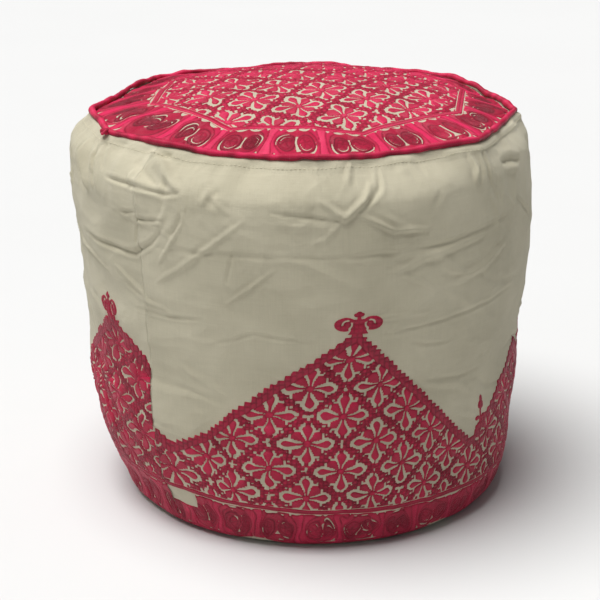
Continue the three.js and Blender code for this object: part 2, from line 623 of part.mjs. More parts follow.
const PAD_SHARE = 0.92;          // wadding pad that crowns the seat, out to this share of the top
const PAD_RIM = 12;              // its thickness towards the rim
const padTop = (a, s) => topPoint(a, s * PAD_SHARE, -(UNDER_TOP + BAG + 1));
const PAD_UNDER_Z = EDGE_HEIGHT - UNDER_TOP - BAG - PAD_RIM;
const padUnder = (a, s) => new THREE.Vector3(padTop(a, s).x, padTop(a, s).y, PAD_UNDER_Z);
add('wadding_pad', disc(EVEN_ANGLES, [0.5, 1], padTop, padUnder), FILLING_FINISH);

// Stuffing: one mass turned about the axis, inside the bag.
const CORE_INSET = BAG_INSET + BAG + 4;    // clear of the bag's wide flats
const CORE_BASE_Z = BAG_BASE_Z + BAG + 1;
const CORE_BASE_RADIUS = 176;
const CORE_TOP_RADIUS = 178;
const CORE_SIDES = 24;
const coreProfile = [new THREE.Vector2(0, CORE_BASE_Z), new THREE.Vector2(CORE_BASE_RADIUS, CORE_BASE_Z)];
for (const [h, r] of PROFILE.slice(2)) {
  if (h * EDGE_HEIGHT > CORE_BASE_Z + 3) {
    coreProfile.push(new THREE.Vector2(r * MAX_RADIUS - CORE_INSET, h * EDGE_HEIGHT));
  }
}
const CORE_TOP_Z = PAD_UNDER_Z - 1;
coreProfile.push(new THREE.Vector2(CORE_TOP_RADIUS, CORE_TOP_Z), new THREE.Vector2(0, CORE_TOP_Z));
const core = add('filling_core', new THREE.LatheGeometry(coreProfile, CORE_SIDES), FILLING_FINISH);
core.rotation.x = Math.PI / 2;

export default group;
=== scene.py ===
"""Looks of a round floor pouf, built around its CAD frame: a cotton cover with crimson embroidery.

Lengths are millimetres until a mesh is made. Angles are degrees from the front (-Y) towards +X.
"""
import math

import bpy
import numpy as np
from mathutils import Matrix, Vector


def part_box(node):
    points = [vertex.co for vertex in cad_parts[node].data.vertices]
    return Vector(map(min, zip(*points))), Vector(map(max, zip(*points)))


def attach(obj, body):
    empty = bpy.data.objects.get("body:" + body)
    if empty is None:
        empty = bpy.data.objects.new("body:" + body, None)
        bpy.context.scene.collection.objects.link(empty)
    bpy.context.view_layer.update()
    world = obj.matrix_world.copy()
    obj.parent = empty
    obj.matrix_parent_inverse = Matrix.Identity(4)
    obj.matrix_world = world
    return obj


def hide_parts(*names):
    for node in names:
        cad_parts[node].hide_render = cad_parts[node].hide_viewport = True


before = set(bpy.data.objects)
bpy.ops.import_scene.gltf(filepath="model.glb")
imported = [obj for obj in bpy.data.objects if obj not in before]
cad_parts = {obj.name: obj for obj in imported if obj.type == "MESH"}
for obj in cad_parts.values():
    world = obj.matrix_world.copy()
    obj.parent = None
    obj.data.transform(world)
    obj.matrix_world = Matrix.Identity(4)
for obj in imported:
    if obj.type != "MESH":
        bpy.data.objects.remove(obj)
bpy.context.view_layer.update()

# ---- driving dimensions, as in the CAD source ----
MM = 0.001
EDGE_HEIGHT = 381.0
CROWN = 29.0
SEAM_LEFT = -42.0
SEAM_RIGHT = SEAM_LEFT + 180
TOP_CORNERS = [(-85, 207), (-60, 208), (-31, 196), (2, 200), (49, 209), (88, 206), (133, 208), (178, 209),
               (227, 208)]
EDGE_BULGE = 0.35
TOP_RIM = 2.5
INNER_OCTAGON = {"radius": 157.0, "turn": -74.0, "x": 6.0, "y": 10.0}
LINE_HALF = 3.2
CORD_RADIUS = 2.75
CORD_INSET = 3.2
CORD_Z = EDGE_HEIGHT - 0.3 + CORD_RADIUS
KNOT_ANGLE = -60.0
BORDER_FOOT = 6.0
BORDER_LINE_WIDTH = 5.0
BORDER_START_FRONT = -32.4
BARE_FROM = 31.0                 # the bare patch before the front border's start reaches down to here
BASE_RADIUS = 165.4
BASE_CLOTH = 2.0
CHANNEL_HALF = 146.0
CHANNEL_END = 154.0
CHANNEL_EDGE = 9.0
CHANNEL_RISE = 4.2
ZIP_Z = 6.7
THREAD_HEIGHT = 1.0
PLAN_SPAN = 460.0                # side of the square that the top's random fields cover
MM_PER_DEGREE = 3.72             # along the side cloth, at its middle height


# ---- small mathematics ----
def curve(keys, at):
    """Smooth curve through (place, value) keys."""
    x, y = np.array(keys, float).T
    at = np.clip(at, x[0], x[-1])
    slope = np.gradient(y, x)
    k = np.clip(np.searchsorted(x, at, side="right") - 1, 0, len(x) - 2)
    width = x[k + 1] - x[k]
    s = (at - x[k]) / width
    rise = (2 * s**3 - 3 * s**2 + 1) * y[k] + (3 * s**2 - 2 * s**3) * y[k + 1]
    return rise + width * ((s**3 - 2 * s**2 + s) * slope[k] + (s**3 - s**2) * slope[k + 1])


def fade(value, start, end):
    """0 at start, 1 at end, smooth between."""
    s = np.clip((value - start) / (end - start), 0, 1)
    return s * s * (3 - 2 * s)


def soft_noise(seed, u, v, columns, rows):
    """Soft random field between -1 and 1. u repeats every 1, v runs from 0 to 1."""
    table = np.random.default_rng(seed).uniform(-1, 1, (columns, rows + 2))
    a, b = np.mod(u, 1) * columns, np.clip(v, 0, 1) * rows
    i, j = np.floor(a).astype(int), np.minimum(np.floor(b).astype(int), rows)
    a, b = fade(a - i, 0, 1), fade(b - j, 0, 1)
    i, k = i % columns, (i + 1) % columns
    low = table[i, j] * (1 - a) + table[k, j] * a
    high = table[i, j + 1] * (1 - a) + table[k, j + 1] * a
    return low * (1 - b) + high * b


def ring_noise(seed, turn, columns):
    """Soft random values round the body; turn repeats every 1."""
    return soft_noise(seed, turn, turn * 0, columns, 2)


def flat_noise(seed, x, y, cells):
    """Soft random field over the top's plan."""
    return soft_noise(seed, x / PLAN_SPAN + 0.5, y / PLAN_SPAN + 0.5, cells, cells)


def polar(angle, radius, z):
    turn = np.radians(angle)
    return np.stack(np.broadcast_arrays(radius * np.sin(turn), -radius * np.cos(turn), z), -1)


def edge_radius(angle):
    """Plan radius of the top edge: a polygon with softly swelled sides."""
    corners = np.array(TOP_CORNERS + [(TOP_CORNERS[0][0] + 360, TOP_CORNERS[0][1])], float)
    a = corners[0, 0] + np.mod(np.asarray(angle, float) - corners[0, 0], 360)
    k = np.clip(np.searchsorted(corners[:, 0], a, side="right") - 1, 0, len(corners) - 2)
    a0, r0, a1, r1 = corners[k, 0], corners[k, 1], corners[k + 1, 0], corners[k + 1, 1]
    before, after, whole = np.radians(a - a0), np.radians(a1 - a), np.radians(a1 - a0)
    chord = r0 * r1 * np.sin(whole) / (r0 * np.sin(before) + r1 * np.sin(after))
    straight = r0 + (r1 - r0) * (a - a0) / (a1 - a0)
    return chord * (1 - EDGE_BULGE) + straight * EDGE_BULGE


def octagon_radius(angle):
    """Plan radius of the inner octagon's line."""
    nearest = np.full(np.shape(angle), np.inf)
    apothem = INNER_OCTAGON["radius"] * math.cos(math.radians(22.5))
    for k in range(8):
        facing = INNER_OCTAGON["turn"] + 22.5 + 45 * k
        normal = polar(facing, 1.0, 0.0)
        offset = apothem + normal[0] * INNER_OCTAGON["x"] + normal[1] * INNER_OCTAGON["y"]
        toward = np.cos(np.radians(np.asarray(angle) - facing))
        nearest = np.minimum(nearest, np.where(toward > 1e-3, offset / np.maximum(toward, 1e-3), np.inf))
    return nearest


def line_height(angle):
    return 41.5 - 8.0 * np.sin(np.radians(angle - 9))


# ---- the stuffed side, as one surface over angle and height ----
# Place along the cloth from the hem under the base to the top seam: (place, radius) and (place, height).
BODY_RADIUS = [(-18, 165.5), (-8, 175.5), (0, 183), (8, 188.4), (23, 193.8), (46, 201.6), (76, 207.5),
               (122, 212.9), (171, 214.7), (221, 220), (267, 223.5), (305, 225), (335, 224.4), (358, 221.5),
               (372, 217), (390, 212)]
BODY_HEIGHT = [(-18, 0.5), (-8, 0.6), (0, 3), (8, 8.5), (20, 20), (60, 60), (200, 200), (350, 350),
               (366, 365.6), (374, 373), (380, 378.2), (385, 381.2), (390, 381.6)]
# How far the cloth has left the body's radius for the top edge, and how far outside that edge it is.
TOWARDS_EDGE = [(340, 0), (352, 0.06), (362, 0.3), (370, 0.62), (377, 0.93), (381, 1), (390, 1)]
EDGE_OFFSET = [(340, 3), (375, 3), (380, 1.6), (384, -0.6), (390, -4.5)]
PLACE_LOW, PLACE_HIGH = -18.0, 390.0
SIDE_COLUMNS = 864
SIDE_ROWS = 220

side_angles = SEAM_LEFT + np.arange(SIDE_COLUMNS + 1) * 360 / SIDE_COLUMNS
side_places = np.linspace(PLACE_LOW, PLACE_HIGH, SIDE_ROWS)


def side_body(angle, place):
    """The side without its wrinkles."""
    radius = curve(BODY_RADIUS, place)
    towards = curve(TOWARDS_EDGE, place) * (place > 340)
    radius = radius + towards * (edge_radius(angle) + curve(EDGE_OFFSET, place) - radius)
    sine = np.sin(np.radians(angle))
    slump = 5.0 * sine * (1 - fade(place, 25, 85)) * fade(place, -12, 4)
    lean = -2.0 * sine * fade(place, 90, 200) * (1 - fade(place, 300, 360))
    return polar(angle, radius + slump + lean, curve(BODY_HEIGHT, place))


def normals_of(points):
    """Unit normals of a grid of points, facing away from the body's axis or upwards."""
    across = np.gradient(points, axis=0)
    along = np.gradient(points, axis=1)
    normal = np.cross(across, along)
    return normal / np.maximum(np.linalg.norm(normal, axis=-1, keepdims=True), 1e-9)


# Folds that lie on the cover: path of (angle, height), height of the fold, half width. Below 0 is a crease.
FOLDS = [
    ([(-66, 374), (-64, 351), (-61, 330)], 4.6, 7.0),
    ([(-59, 372), (-58, 352), (-57, 333)], -2.6, 3.0),
    ([(-69, 366), (-68, 350), (-66, 334)], -2.2, 3.4),
    ([(-62.7, 379), (-59, 366), (-56.8, 352)], -1.9, 1.9),
    ([(-58.5, 380), (-56, 368), (-54, 355)], -1.6, 1.9),
    ([(-43.2, 378), (-35.5, 368), (-29.8, 354)], 4.0, 4.0),
    ([(-45, 372), (-40, 362), (-35, 354)], -3.2, 7.0),
    ([(-53, 351), (-41.4, 350), (-33.4, 348), (-29, 352)], -2.2, 2.8),
    ([(-43.6, 365), (-44, 347)], 1.5, 3.0),
    ([(-42, 320), (-43.2, 293)], -1.1, 2.0),
    ([(-20, 359), (-23, 346)], -1.2, 7.0),
    ([(-17, 306), (-19, 271)], -0.8, 2.0),
    ([(-42, 374), (-36, 377)], -2.6, 4.0),
    ([(-48, 321), (-42, 326)], -1.2, 2.0),
    ([(-43, 318), (-38, 321), (-34, 323)], -1.5, 2.0),
    ([(-67, 287), (-56, 284), (-44, 284), (-38, 300), (-34, 317)], -1.9, 2.8),
    ([(-28, 342), (-29, 325), (-32, 306), (-37, 279)], 1.2, 2.0),
    ([(-14, 334), (-24, 301), (-31, 280), (-38, 262)], 1.2, 2.8),
    ([(-7, 292), (-13, 272), (-20, 251)], 0.9, 2.0),
    ([(-46, 230), (-35, 231), (-25, 235)], -1.2, 1.8),
    ([(-39, 297), (-27, 298), (-15, 301), (6, 300)], -0.8, 3.0),
    ([(-25, 209), (-13, 226), (2, 219)], -0.7, 2.2),
    ([(-22, 360), (-24, 343)], 1.4, 4.0),
    ([(11, 381), (10, 373), (9, 364)], 1.6, 3.5),
    ([(18, 376), (17, 361), (13, 345)], -1.6, 3.0),
    ([(2, 354), (8, 336), (13, 352), (15, 366)], 1.9, 3.4),
    ([(11, 340), (16, 330), (20, 322), (30, 319)], 1.8, 3.0),
    ([(-9, 342), (0, 338), (8, 333)], -1.2, 2.2),
    ([(2, 300), (18, 301), (37, 301), (58, 310)], -1.0, 3.4),
    ([(19, 282), (26, 291), (37, 298), (48, 302)], 1.5, 4.0),
    ([(16, 224), (28, 227), (43, 231), (64, 234)], -1.1, 2.2),
    ([(29, 170), (42, 163), (52, 164)], -0.8, 2.6),
    ([(57, 360), (63, 357), (68, 352)], -2.6, 5.0),
    ([(62, 322), (68, 305), (74, 288)], -1.2, 3.0),
    ([(49, 378), (50, 360), (51, 341)], -2.0, 2.6),
    ([(45, 376), (46, 362), (45, 350)], 1.8, 4.0),
    ([(-52, 268), (-44, 250), (-40, 238)], 1.1, 3.0),
    ([(34, 262), (46, 270), (58, 286)], 1.2, 4.0),
]
RANDOM_FOLDS = 120
FOLD_SEED = 41
FOLD_STRENGTH = 1.3
FOLD_SHARPNESS = 0.72


def fold_relief(angle, place, path, height, width):
    """A ridge or crease along a path, at full height in the middle and fading to its ends."""
    x, y = (angle - path[0][0]) * MM_PER_DEGREE, place
    corners = [((a - path[0][0]) * MM_PER_DEGREE, z) for a, z in path]
    lengths = [math.dist(p, q) for p, q in zip(corners, corners[1:])]
    best, along = np.full(x.shape, np.inf), np.zeros(x.shape)
    run = 0.0
    for (x0, y0), (x1, y1), length in zip(corners, corners[1:], lengths):
        s = np.clip(((x - x0) * (x1 - x0) + (y - y0) * (y1 - y0)) / length**2, 0, 1)
        away = np.hypot(x - x0 - s * (x1 - x0), y - y0 - s * (y1 - y0))
        nearer = away < best
        best = np.where(nearer, away, best)
        along = np.where(nearer, run + s * length, along)
        run += length
    share = along / run
    ends = np.clip(4 * share * (1 - share), 0, 1) ** 0.5
    spread = FOLD_SHARPNESS * width * (0.6 + 0.4 * ends)
    sharp = np.exp(-np.sqrt((best / spread) ** 2 + 0.03) * 1.6 + 0.28)
    lips = 0.35 * np.exp(-((best / spread - 2.2) / 0.9) ** 2)
    return FOLD_STRENGTH * height * ends * (sharp - lips)


def random_folds():
    """Seeded small folds all round: steep ones under the top seam, flatter ones lower down."""
    random = np.random.default_rng(FOLD_SEED)
    made = []
    for _ in range(RANDOM_FOLDS):
        start = random.uniform(SEAM_LEFT, SEAM_LEFT + 360)
        high = random.random() < 0.45
        front = -75 < (start + 180) % 360 - 180 < 104
        place = random.uniform(335, 376) if high else random.uniform(110, 335)
        lean = random.uniform(-1.2, 1.2) if high else random.uniform(-0.7, 0.7)
        length = random.uniform(18, 45) if high else random.uniform(35, 110)
        steep = math.pi / 2 + lean if high else lean
        bend = random.uniform(-0.5, 0.5)
        path = [(start, place)]
        for k in range(3):
            turn = steep + bend * k
            step = length / 3
            path.append((path[-1][0] + step * math.cos(turn) / MM_PER_DEGREE,
                         path[-1][1] - step * abs(math.sin(turn))))
        height = random.uniform(0.8, 2.4) * (0.45 if front else 1.0) * random.choice([-1, 1, 1])
        made.append((path, height, random.uniform(2.2, 5.0)))
    return made


# Creases between the soft facets of the cloth, coarse to fine: (seed, columns, rows, depth).
FACETS = ((10, 40, 13, 1.3), (11, 84, 30, 0.6), (12, 190, 70, 0.22))
GATHERED_ANGLE = -52.0           # the cloth is bunched most under the sharp corner of the top
HEM_PLACE = 375.0                # the cloth is turned in, and so thicker, above this place
HEM_STEP = 0.9


def seam_relief(angle, place, seam):
    """Puckers and a shallow groove along an upright seam, weaker towards the top."""
    u, v = (angle - SEAM_LEFT) / 360, (place - PLACE_LOW) / (PLACE_HIGH - PLACE_LOW)
    away = (np.mod(angle - seam + 180, 360) - 180) * MM_PER_DEGREE
    pucker = 0.25 * np.sin(place / 3.1 + 2 * soft_noise(13, u, v, 20, 30)) * np.exp(-(away / 6) ** 2)
    groove = 0.15 * np.exp(-(away / 1.4) ** 2)
    return (pucker - groove) * fade(place, -5, 20) * (1 - 0.95 * fade(place, 200, 260))


def side_wrinkles(angle, place):
    """How far the cloth stands off the smooth body."""
    u, v = (angle - SEAM_LEFT) / 360, (place - PLACE_LOW) / (PLACE_HIGH - PLACE_LOW)
    relief = 1.7 * soft_noise(3, u, v, 13, 5) + 0.9 * soft_noise(4, u + 0.05 * v, v, 31, 11)
    gathers = fade(place, 300, 372)
    sway = u + 0.012 * soft_noise(7, u, v, 24, 8)
    relief += 1.9 * gathers * soft_noise(5, sway, v, 62, 4)
    relief += 0.8 * gathers**2 * soft_noise(6, sway, v, 150, 6)
    bunched = fade(np.cos(np.radians(angle - GATHERED_ANGLE)), 0.9, 1.0)
    relief += bunched * 1.8 * soft_noise(8, u, v, 44, 16)
    warp = 0.02 * soft_noise(9, u, v, 20, 10)
    for seed, columns, rows, depth in FACETS:
        relief -= depth * np.abs(soft_noise(seed, u + warp, v + warp, columns, rows)) ** 0.8
    for path, height, width in FOLDS + random_folds():
        centre = sum(a for a, _ in path) / len(path)
        near = centre + np.mod(angle - centre + 180, 360) - 180
        relief += fold_relief(near, place, path, height, width)
    relief += seam_relief(angle, place, SEAM_LEFT) + seam_relief(angle, place, SEAM_RIGHT)
    hem_line = HEM_PLACE + 1.6 * ring_noise(14, u, 30)
    relief += HEM_STEP * fade(place, hem_line - 0.8, hem_line + 0.8)
    free = fade(place, -4, 40)
    tucked = 1 - fade(place, 379, 384)
    return relief * (0.25 + 0.75 * free) * (0.1 + 0.9 * tucked)


grid_angle, grid_place = np.meshgrid(side_angles, side_places, indexing="ij")
side_smooth = side_body(grid_angle, grid_place)
side_relief = side_wrinkles(grid_angle, grid_place)
side_relief[-1] = side_relief[0]
side_points = side_smooth + side_relief[..., None] * normals_of(side_smooth)
side_points[..., 2] = np.maximum(side_points[..., 2], 0.4)
side_normals = normals_of(side_points)
side_normals[0] = side_normals[-1] = (side_normals[0] + side_normals[-1]) / 2


def on_side(angle, place, lift):
    """Points over the wrinkled side cloth, lifted off it."""
    a = np.mod(angle - SEAM_LEFT, 360) / 360 * SIDE_COLUMNS
    b = np.clip((place - PLACE_LOW) / (PLACE_HIGH - PLACE_LOW), 0, 1) * (SIDE_ROWS - 1)
    i, j = np.minimum(a.astype(int), SIDE_COLUMNS - 1), np.minimum(b.astype(int), SIDE_ROWS - 2)
    a, b = (a - i)[..., None], (b - j)[..., None]

    def mixed(grid):
        low = grid[i, j] * (1 - a) + grid[i + 1, j] * a
        high = grid[i, j + 1] * (1 - a) + grid[i + 1, j + 1] * a
        return low * (1 - b) + high * b

    return mixed(side_points) + mixed(side_normals) * np.asarray(lift)[..., None]


# ---- the crowned top ----
def top_height(x, y):
    """Height of the top cloth over a plan place."""
    angle, radius = np.degrees(np.arctan2(x, -y)), np.hypot(x, y)
    share = np.clip(radius / (edge_radius(angle) - TOP_RIM), 0, 1)
    u, v = angle / 360, share
    lumps = 1.5 * flat_noise(21, x, y, 11) + 0.8 * flat_noise(22, x, y, 26)
    rim = fade(share, 0.72, 0.97) * (1 - fade(share, 0.985, 1))
    puckers = rim * (1.0 * soft_noise(23, u, v, 54, 5) + 0.5 * soft_noise(24, u, v, 120, 8))
    quiet = 1 - fade(share, 0.93, 1)
    return EDGE_HEIGHT - 1 + CROWN * (1 - share**2.2) + lumps * quiet + puckers


def on_top(x, y, lift):
    step = 1.5
    slope_x = (top_height(x + step, y) - top_height(x - step, y)) / (2 * step)
    slope_y = (top_height(x, y + step) - top_height(x, y - step)) / (2 * step)
    normal = np.stack([-slope_x, -slope_y, np.ones_like(x)], -1)
    normal /= np.linalg.norm(normal, axis=-1, keepdims=True)
    return np.stack([x, y, top_height(x, y)], -1) + normal * np.asarray(lift)[..., None]


# ---- meshes ----
# How the stuffed body has settled: shift to the left as (height, shift), a swelling at the shoulder, the
# fall of the top towards the back, and the unevenness of the top's edge.
SLUMP = [(20, 0), (60, 3), (110, 3.5), (150, 3.5), (195, 1.5), (285, 2), (320, 5), (345, 8), (366, 8.5),
         (380, 4.5), (420, 4)]
SWELLING = {"height": 363.0, "spread": 11.0, "share": 0.02}
BACK_DROP = 7.5
EDGE_WAVES = ((15, 17, 2.6), (16, 40, 1.3))      # seed, waves round the edge, height


def settled(points):
    """Points of the upright body, moved to where they have settled."""
    x, y, z = points.T
    swelling = SWELLING["share"] * np.exp(-((z - SWELLING["height"]) / SWELLING["spread"]) ** 2)
    x = x * (1 + swelling) - curve(SLUMP, z) * fade(np.abs(x), 20, 190)
    backward = 0.5 * (1 + np.clip(y / 170, -1, 1))
    turn = np.degrees(np.arctan2(x, -y)) / 360
    wave = sum(height * ring_noise(seed, turn, count) for seed, count, height in EDGE_WAVES)
    z = z + wave * fade(np.hypot(x, y), 120, 190) * fade(z, 340, EDGE_HEIGHT)
    z = z - BACK_DROP * backward * fade(z, 230, EDGE_HEIGHT)
    return np.stack([x, y, z], -1)


def make_piece(name, points, face_lists, material, replaces, weave=None, floats=None):
    """A mesh from points in millimetres and arrays of faces, riding on the pouf's body.

    weave holds millimetres along the cloth's threads, and floats more named values, one per point.
    """
    mesh = bpy.data.meshes.new(name)
    points = settled(np.asarray(points, float).reshape(-1, 3))
    mesh.vertices.add(len(points))
    mesh.vertices.foreach_set("co", (points * MM).astype(np.float32).ravel())
    face_lists = [np.asarray(f, np.int32) for f in face_lists if len(f)]
    sizes = np.concatenate([np.full(len(f), f.shape[1], np.int32) for f in face_lists])
    corners = np.concatenate([f.ravel() for f in face_lists])
    mesh.loops.add(len(corners))
    mesh.loops.foreach_set("vertex_index", corners)
    mesh.polygons.add(len(sizes))
    mesh.polygons.foreach_set("loop_start", np.concatenate([[0], np.cumsum(sizes)[:-1]]).astype(np.int32))
    mesh.polygons.foreach_set("use_smooth", np.full(len(sizes), True))
    for label, values in (floats or {}).items():
        made = mesh.attributes.new(label, "FLOAT", "POINT")
        made.data.foreach_set("value", np.asarray(values, np.float32).ravel())
    if weave is not None:
        made = mesh.attributes.new("weave", "FLOAT_VECTOR", "POINT")
        made.data.foreach_set("vector", np.asarray(weave, np.float32).ravel())
    mesh.update(calc_edges=True)
    mesh.validate()
    mesh.materials.append(material)
    piece = bpy.data.objects.new(name, mesh)
    bpy.context.scene.collection.objects.link(piece)
    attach(piece, "root")
    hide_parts(*replaces)
    return piece


def grid_quads(columns, rows, ring=False, start=0, flip=False):
    """Quads of a grid whose points run row by row within each column."""
    i, j = np.meshgrid(np.arange(columns if ring else columns - 1), np.arange(rows - 1), indexing="ij")
    k = (i + 1) % columns
    quads = np.stack([i * rows + j, k * rows + j, k * rows + j + 1, i * rows + j + 1], -1).reshape(-1, 4)
    return (quads[:, ::-1] if flip else quads) + start


def slab_faces(columns, rows, ring=False):
    """Faces of a closed slab: the outer grid, then the inner grid, joined round the rim."""
    count = columns * rows
    faces = [grid_quads(columns, rows, ring), grid_quads(columns, rows, ring, count, True)]
    edge = np.arange(columns if ring else columns - 1)
    following = (edge + 1) % columns
    foot, head = edge * rows, edge * rows + rows - 1
    next_foot, next_head = following * rows, following * rows + rows - 1
    faces.append(np.stack([next_foot, foot, foot + count, next_foot + count], -1))
    faces.append(np.stack([head, next_head, next_head + count, head + count], -1))
    if not ring:
        row = np.arange(rows - 1)
        last = (columns - 1) * rows + row
        faces.append(np.stack([row, row + 1, row + 1 + count, row + count], -1))
        faces.append(np.stack([last + 1, last, last + count, last + 1 + count], -1))
    return faces


def make_slab(name, outer, inner, weave, material, replaces, ring=False, flip=False):
    """A closed sheet between two grids of points."""
    faces = slab_faces(*outer.shape[:2], ring)
    if flip:
        faces = [f[:, ::-1] for f in faces]
    both, weaves = np.stack([outer, inner]), np.stack([weave, weave])
    return make_piece(name, both, faces, material, replaces, weaves)


def disc_faces(columns, rings):
    """Faces of a closed round slab: a centre point and rings above, then the same below."""
    above, below = 0, 1 + columns * rings
    faces = []
    i = np.arange(columns)
    k = (i + 1) % columns
    for start, flip in ((above, False), (below, True)):
        fan = np.stack([np.full(columns, start), start + 1 + i * rings, start + 1 + k * rings], -1)
        faces.append(fan[:, ::-1] if flip else fan)
        faces.append(grid_quads(columns, rings, True, start + 1, not flip))
    outer, next_outer = 1 + i * rings + rings - 1, 1 + k * rings + rings - 1
    faces.append(np.stack([outer, outer + below, next_outer + below, next_outer], -1))
    return faces


def tube(path, radii, sides, closed=False, up=(0, 0, 1)):
    """Points and faces of a tube along a path; radii is a number or one per place and side."""
    path = np.asarray(path, float)
    ahead = np.roll(path, -1, 0) - np.roll(path, 1, 0)
    if not closed:
        ahead[0], ahead[-1] = path[1] - path[0], path[-1] - path[-2]
    ahead /= np.linalg.norm(ahead, axis=1, keepdims=True)
    side = np.cross(ahead, np.asarray(up, float))
    side /= np.maximum(np.linalg.norm(side, axis=1, keepdims=True), 1e-9)
    over = np.cross(side, ahead)
    turn = np.linspace(0, 2 * np.pi, sides, endpoint=False)
    radii = np.broadcast_to(np.asarray(radii, float), (len(path), sides))
    points = path[:, None] + radii[..., None] * (np.cos(turn)[None, :, None] * side[:, None]
                                                 + np.sin(turn)[None, :, None] * over[:, None])
    n = len(path)
    i, j = np.meshgrid(np.arange(n if closed else n - 1), np.arange(sides), indexing="ij")
    k, l = (i + 1) % n, (j + 1) % sides
    quads = np.stack([i * sides + j, i * sides + l, k * sides + l, k * sides + j], -1).reshape(-1, 4)
    points = points.reshape(-1, 3)
    if closed:
        return points, [quads]
    points = np.concatenate([points, path[[0, -1]]])
    j = np.arange(sides)
    l = (j + 1) % sides
    first, last = n * sides, n * sides + 1
    caps = np.concatenate([np.stack([np.full(sides, first), l, j], -1),
                           np.stack([np.full(sides, last), (n - 1) * sides + j, (n - 1) * sides + l], -1)])
    return points, [quads, caps]


def joined(parts):
    """One set of points and faces from many."""
    points, faces, start = [], {}, 0
    for part_points, part_faces in parts:
        points.append(np.asarray(part_points, float).reshape(-1, 3))
        for group in part_faces:
            faces.setdefault(group.shape[1], []).append(group + start)
        start += len(points[-1])
    return np.concatenate(points), [np.concatenate(groups) for groups in faces.values()]


class Patch:
    """The part of a regular grid where cut > 0, with its outline cut between the grid's points."""

    def __init__(self, cut):
        columns, rows = cut.shape
        index = np.arange(columns * rows).reshape(columns, rows)
        corners = np.stack([index[:-1, :-1], index[1:, :-1], index[1:, 1:], index[:-1, 1:]], -1)
        corners = corners.reshape(-1, 4)
        value = cut.ravel()
        inside = value > 0
        count = inside[corners].sum(1)
        quads = corners[count == 4]
        part = corners[(count > 0) & (count < 4)]
        triangles = np.concatenate([part[:, [0, 1, 2]], part[:, [0, 2, 3]]])
        held = inside[triangles]
        number = held.sum(1)
        whole = triangles[number == 3]
        one = self.turned(triangles[number == 1], held[number == 1].argmax(1))
        two = self.turned(triangles[number == 2], (~held[number == 2]).argmax(1))
        cuts = np.concatenate([one[:, [0, 1]], one[:, [0, 2]], two[:, [1, 0]], two[:, [2, 0]]])
        total = columns * rows
        keys, where = np.unique(cuts[:, 0] * total + cuts[:, 1], return_inverse=True)
        where = where.ravel()
        cut_in, cut_out = keys // total, keys % total
        kept = np.concatenate([quads.ravel(), whole.ravel(), one[:, 0], two[:, 1], two[:, 2]])
        used, place = np.unique(kept, return_inverse=True)
        place = place.ravel()
        marks = np.cumsum([quads.size, whole.size, len(one), len(two)])
        quads = place[:marks[0]].reshape(-1, 4)
        whole = place[marks[0]:marks[1]].reshape(-1, 3)
        one_in, two_a, two_b = place[marks[1]:marks[2]], place[marks[2]:marks[3]], place[marks[3]:]
        ends = len(used) + where
        n, m = len(one), len(two)
        one_faces = np.stack([one_in, ends[:n], ends[n:2 * n]], -1)
        two_faces = np.stack([ends[2 * n:2 * n + m], two_a, two_b, ends[2 * n + m:]], -1)
        self.faces = [np.concatenate([quads, two_faces]), np.concatenate([whole, one_faces])]
        self.inner = np.concatenate([used, cut_in])
        self.outer = np.concatenate([used, cut_out])
        share = value[cut_in] / (value[cut_in] - value[cut_out])
        self.share = np.concatenate([np.zeros(len(used)), np.clip(share, 0.1, 0.95)])
        self.rim = np.concatenate([np.zeros(len(used), bool), np.ones(len(cut_in), bool)])

    @staticmethod
    def turned(triangles, first):
        return triangles[np.arange(len(triangles))[:, None], (first[:, None] + np.arange(3)) % 3]

    def between(self, field):
        """A field's values at the patch's points, read between the grid's points."""
        flat = field.ravel()
        return flat[self.inner] * (1 - self.share) + flat[self.outer] * self.share

    def inside(self, field):
        """A field's values at the patch's points, read at the inner neighbour."""
        return field.ravel()[self.inner]


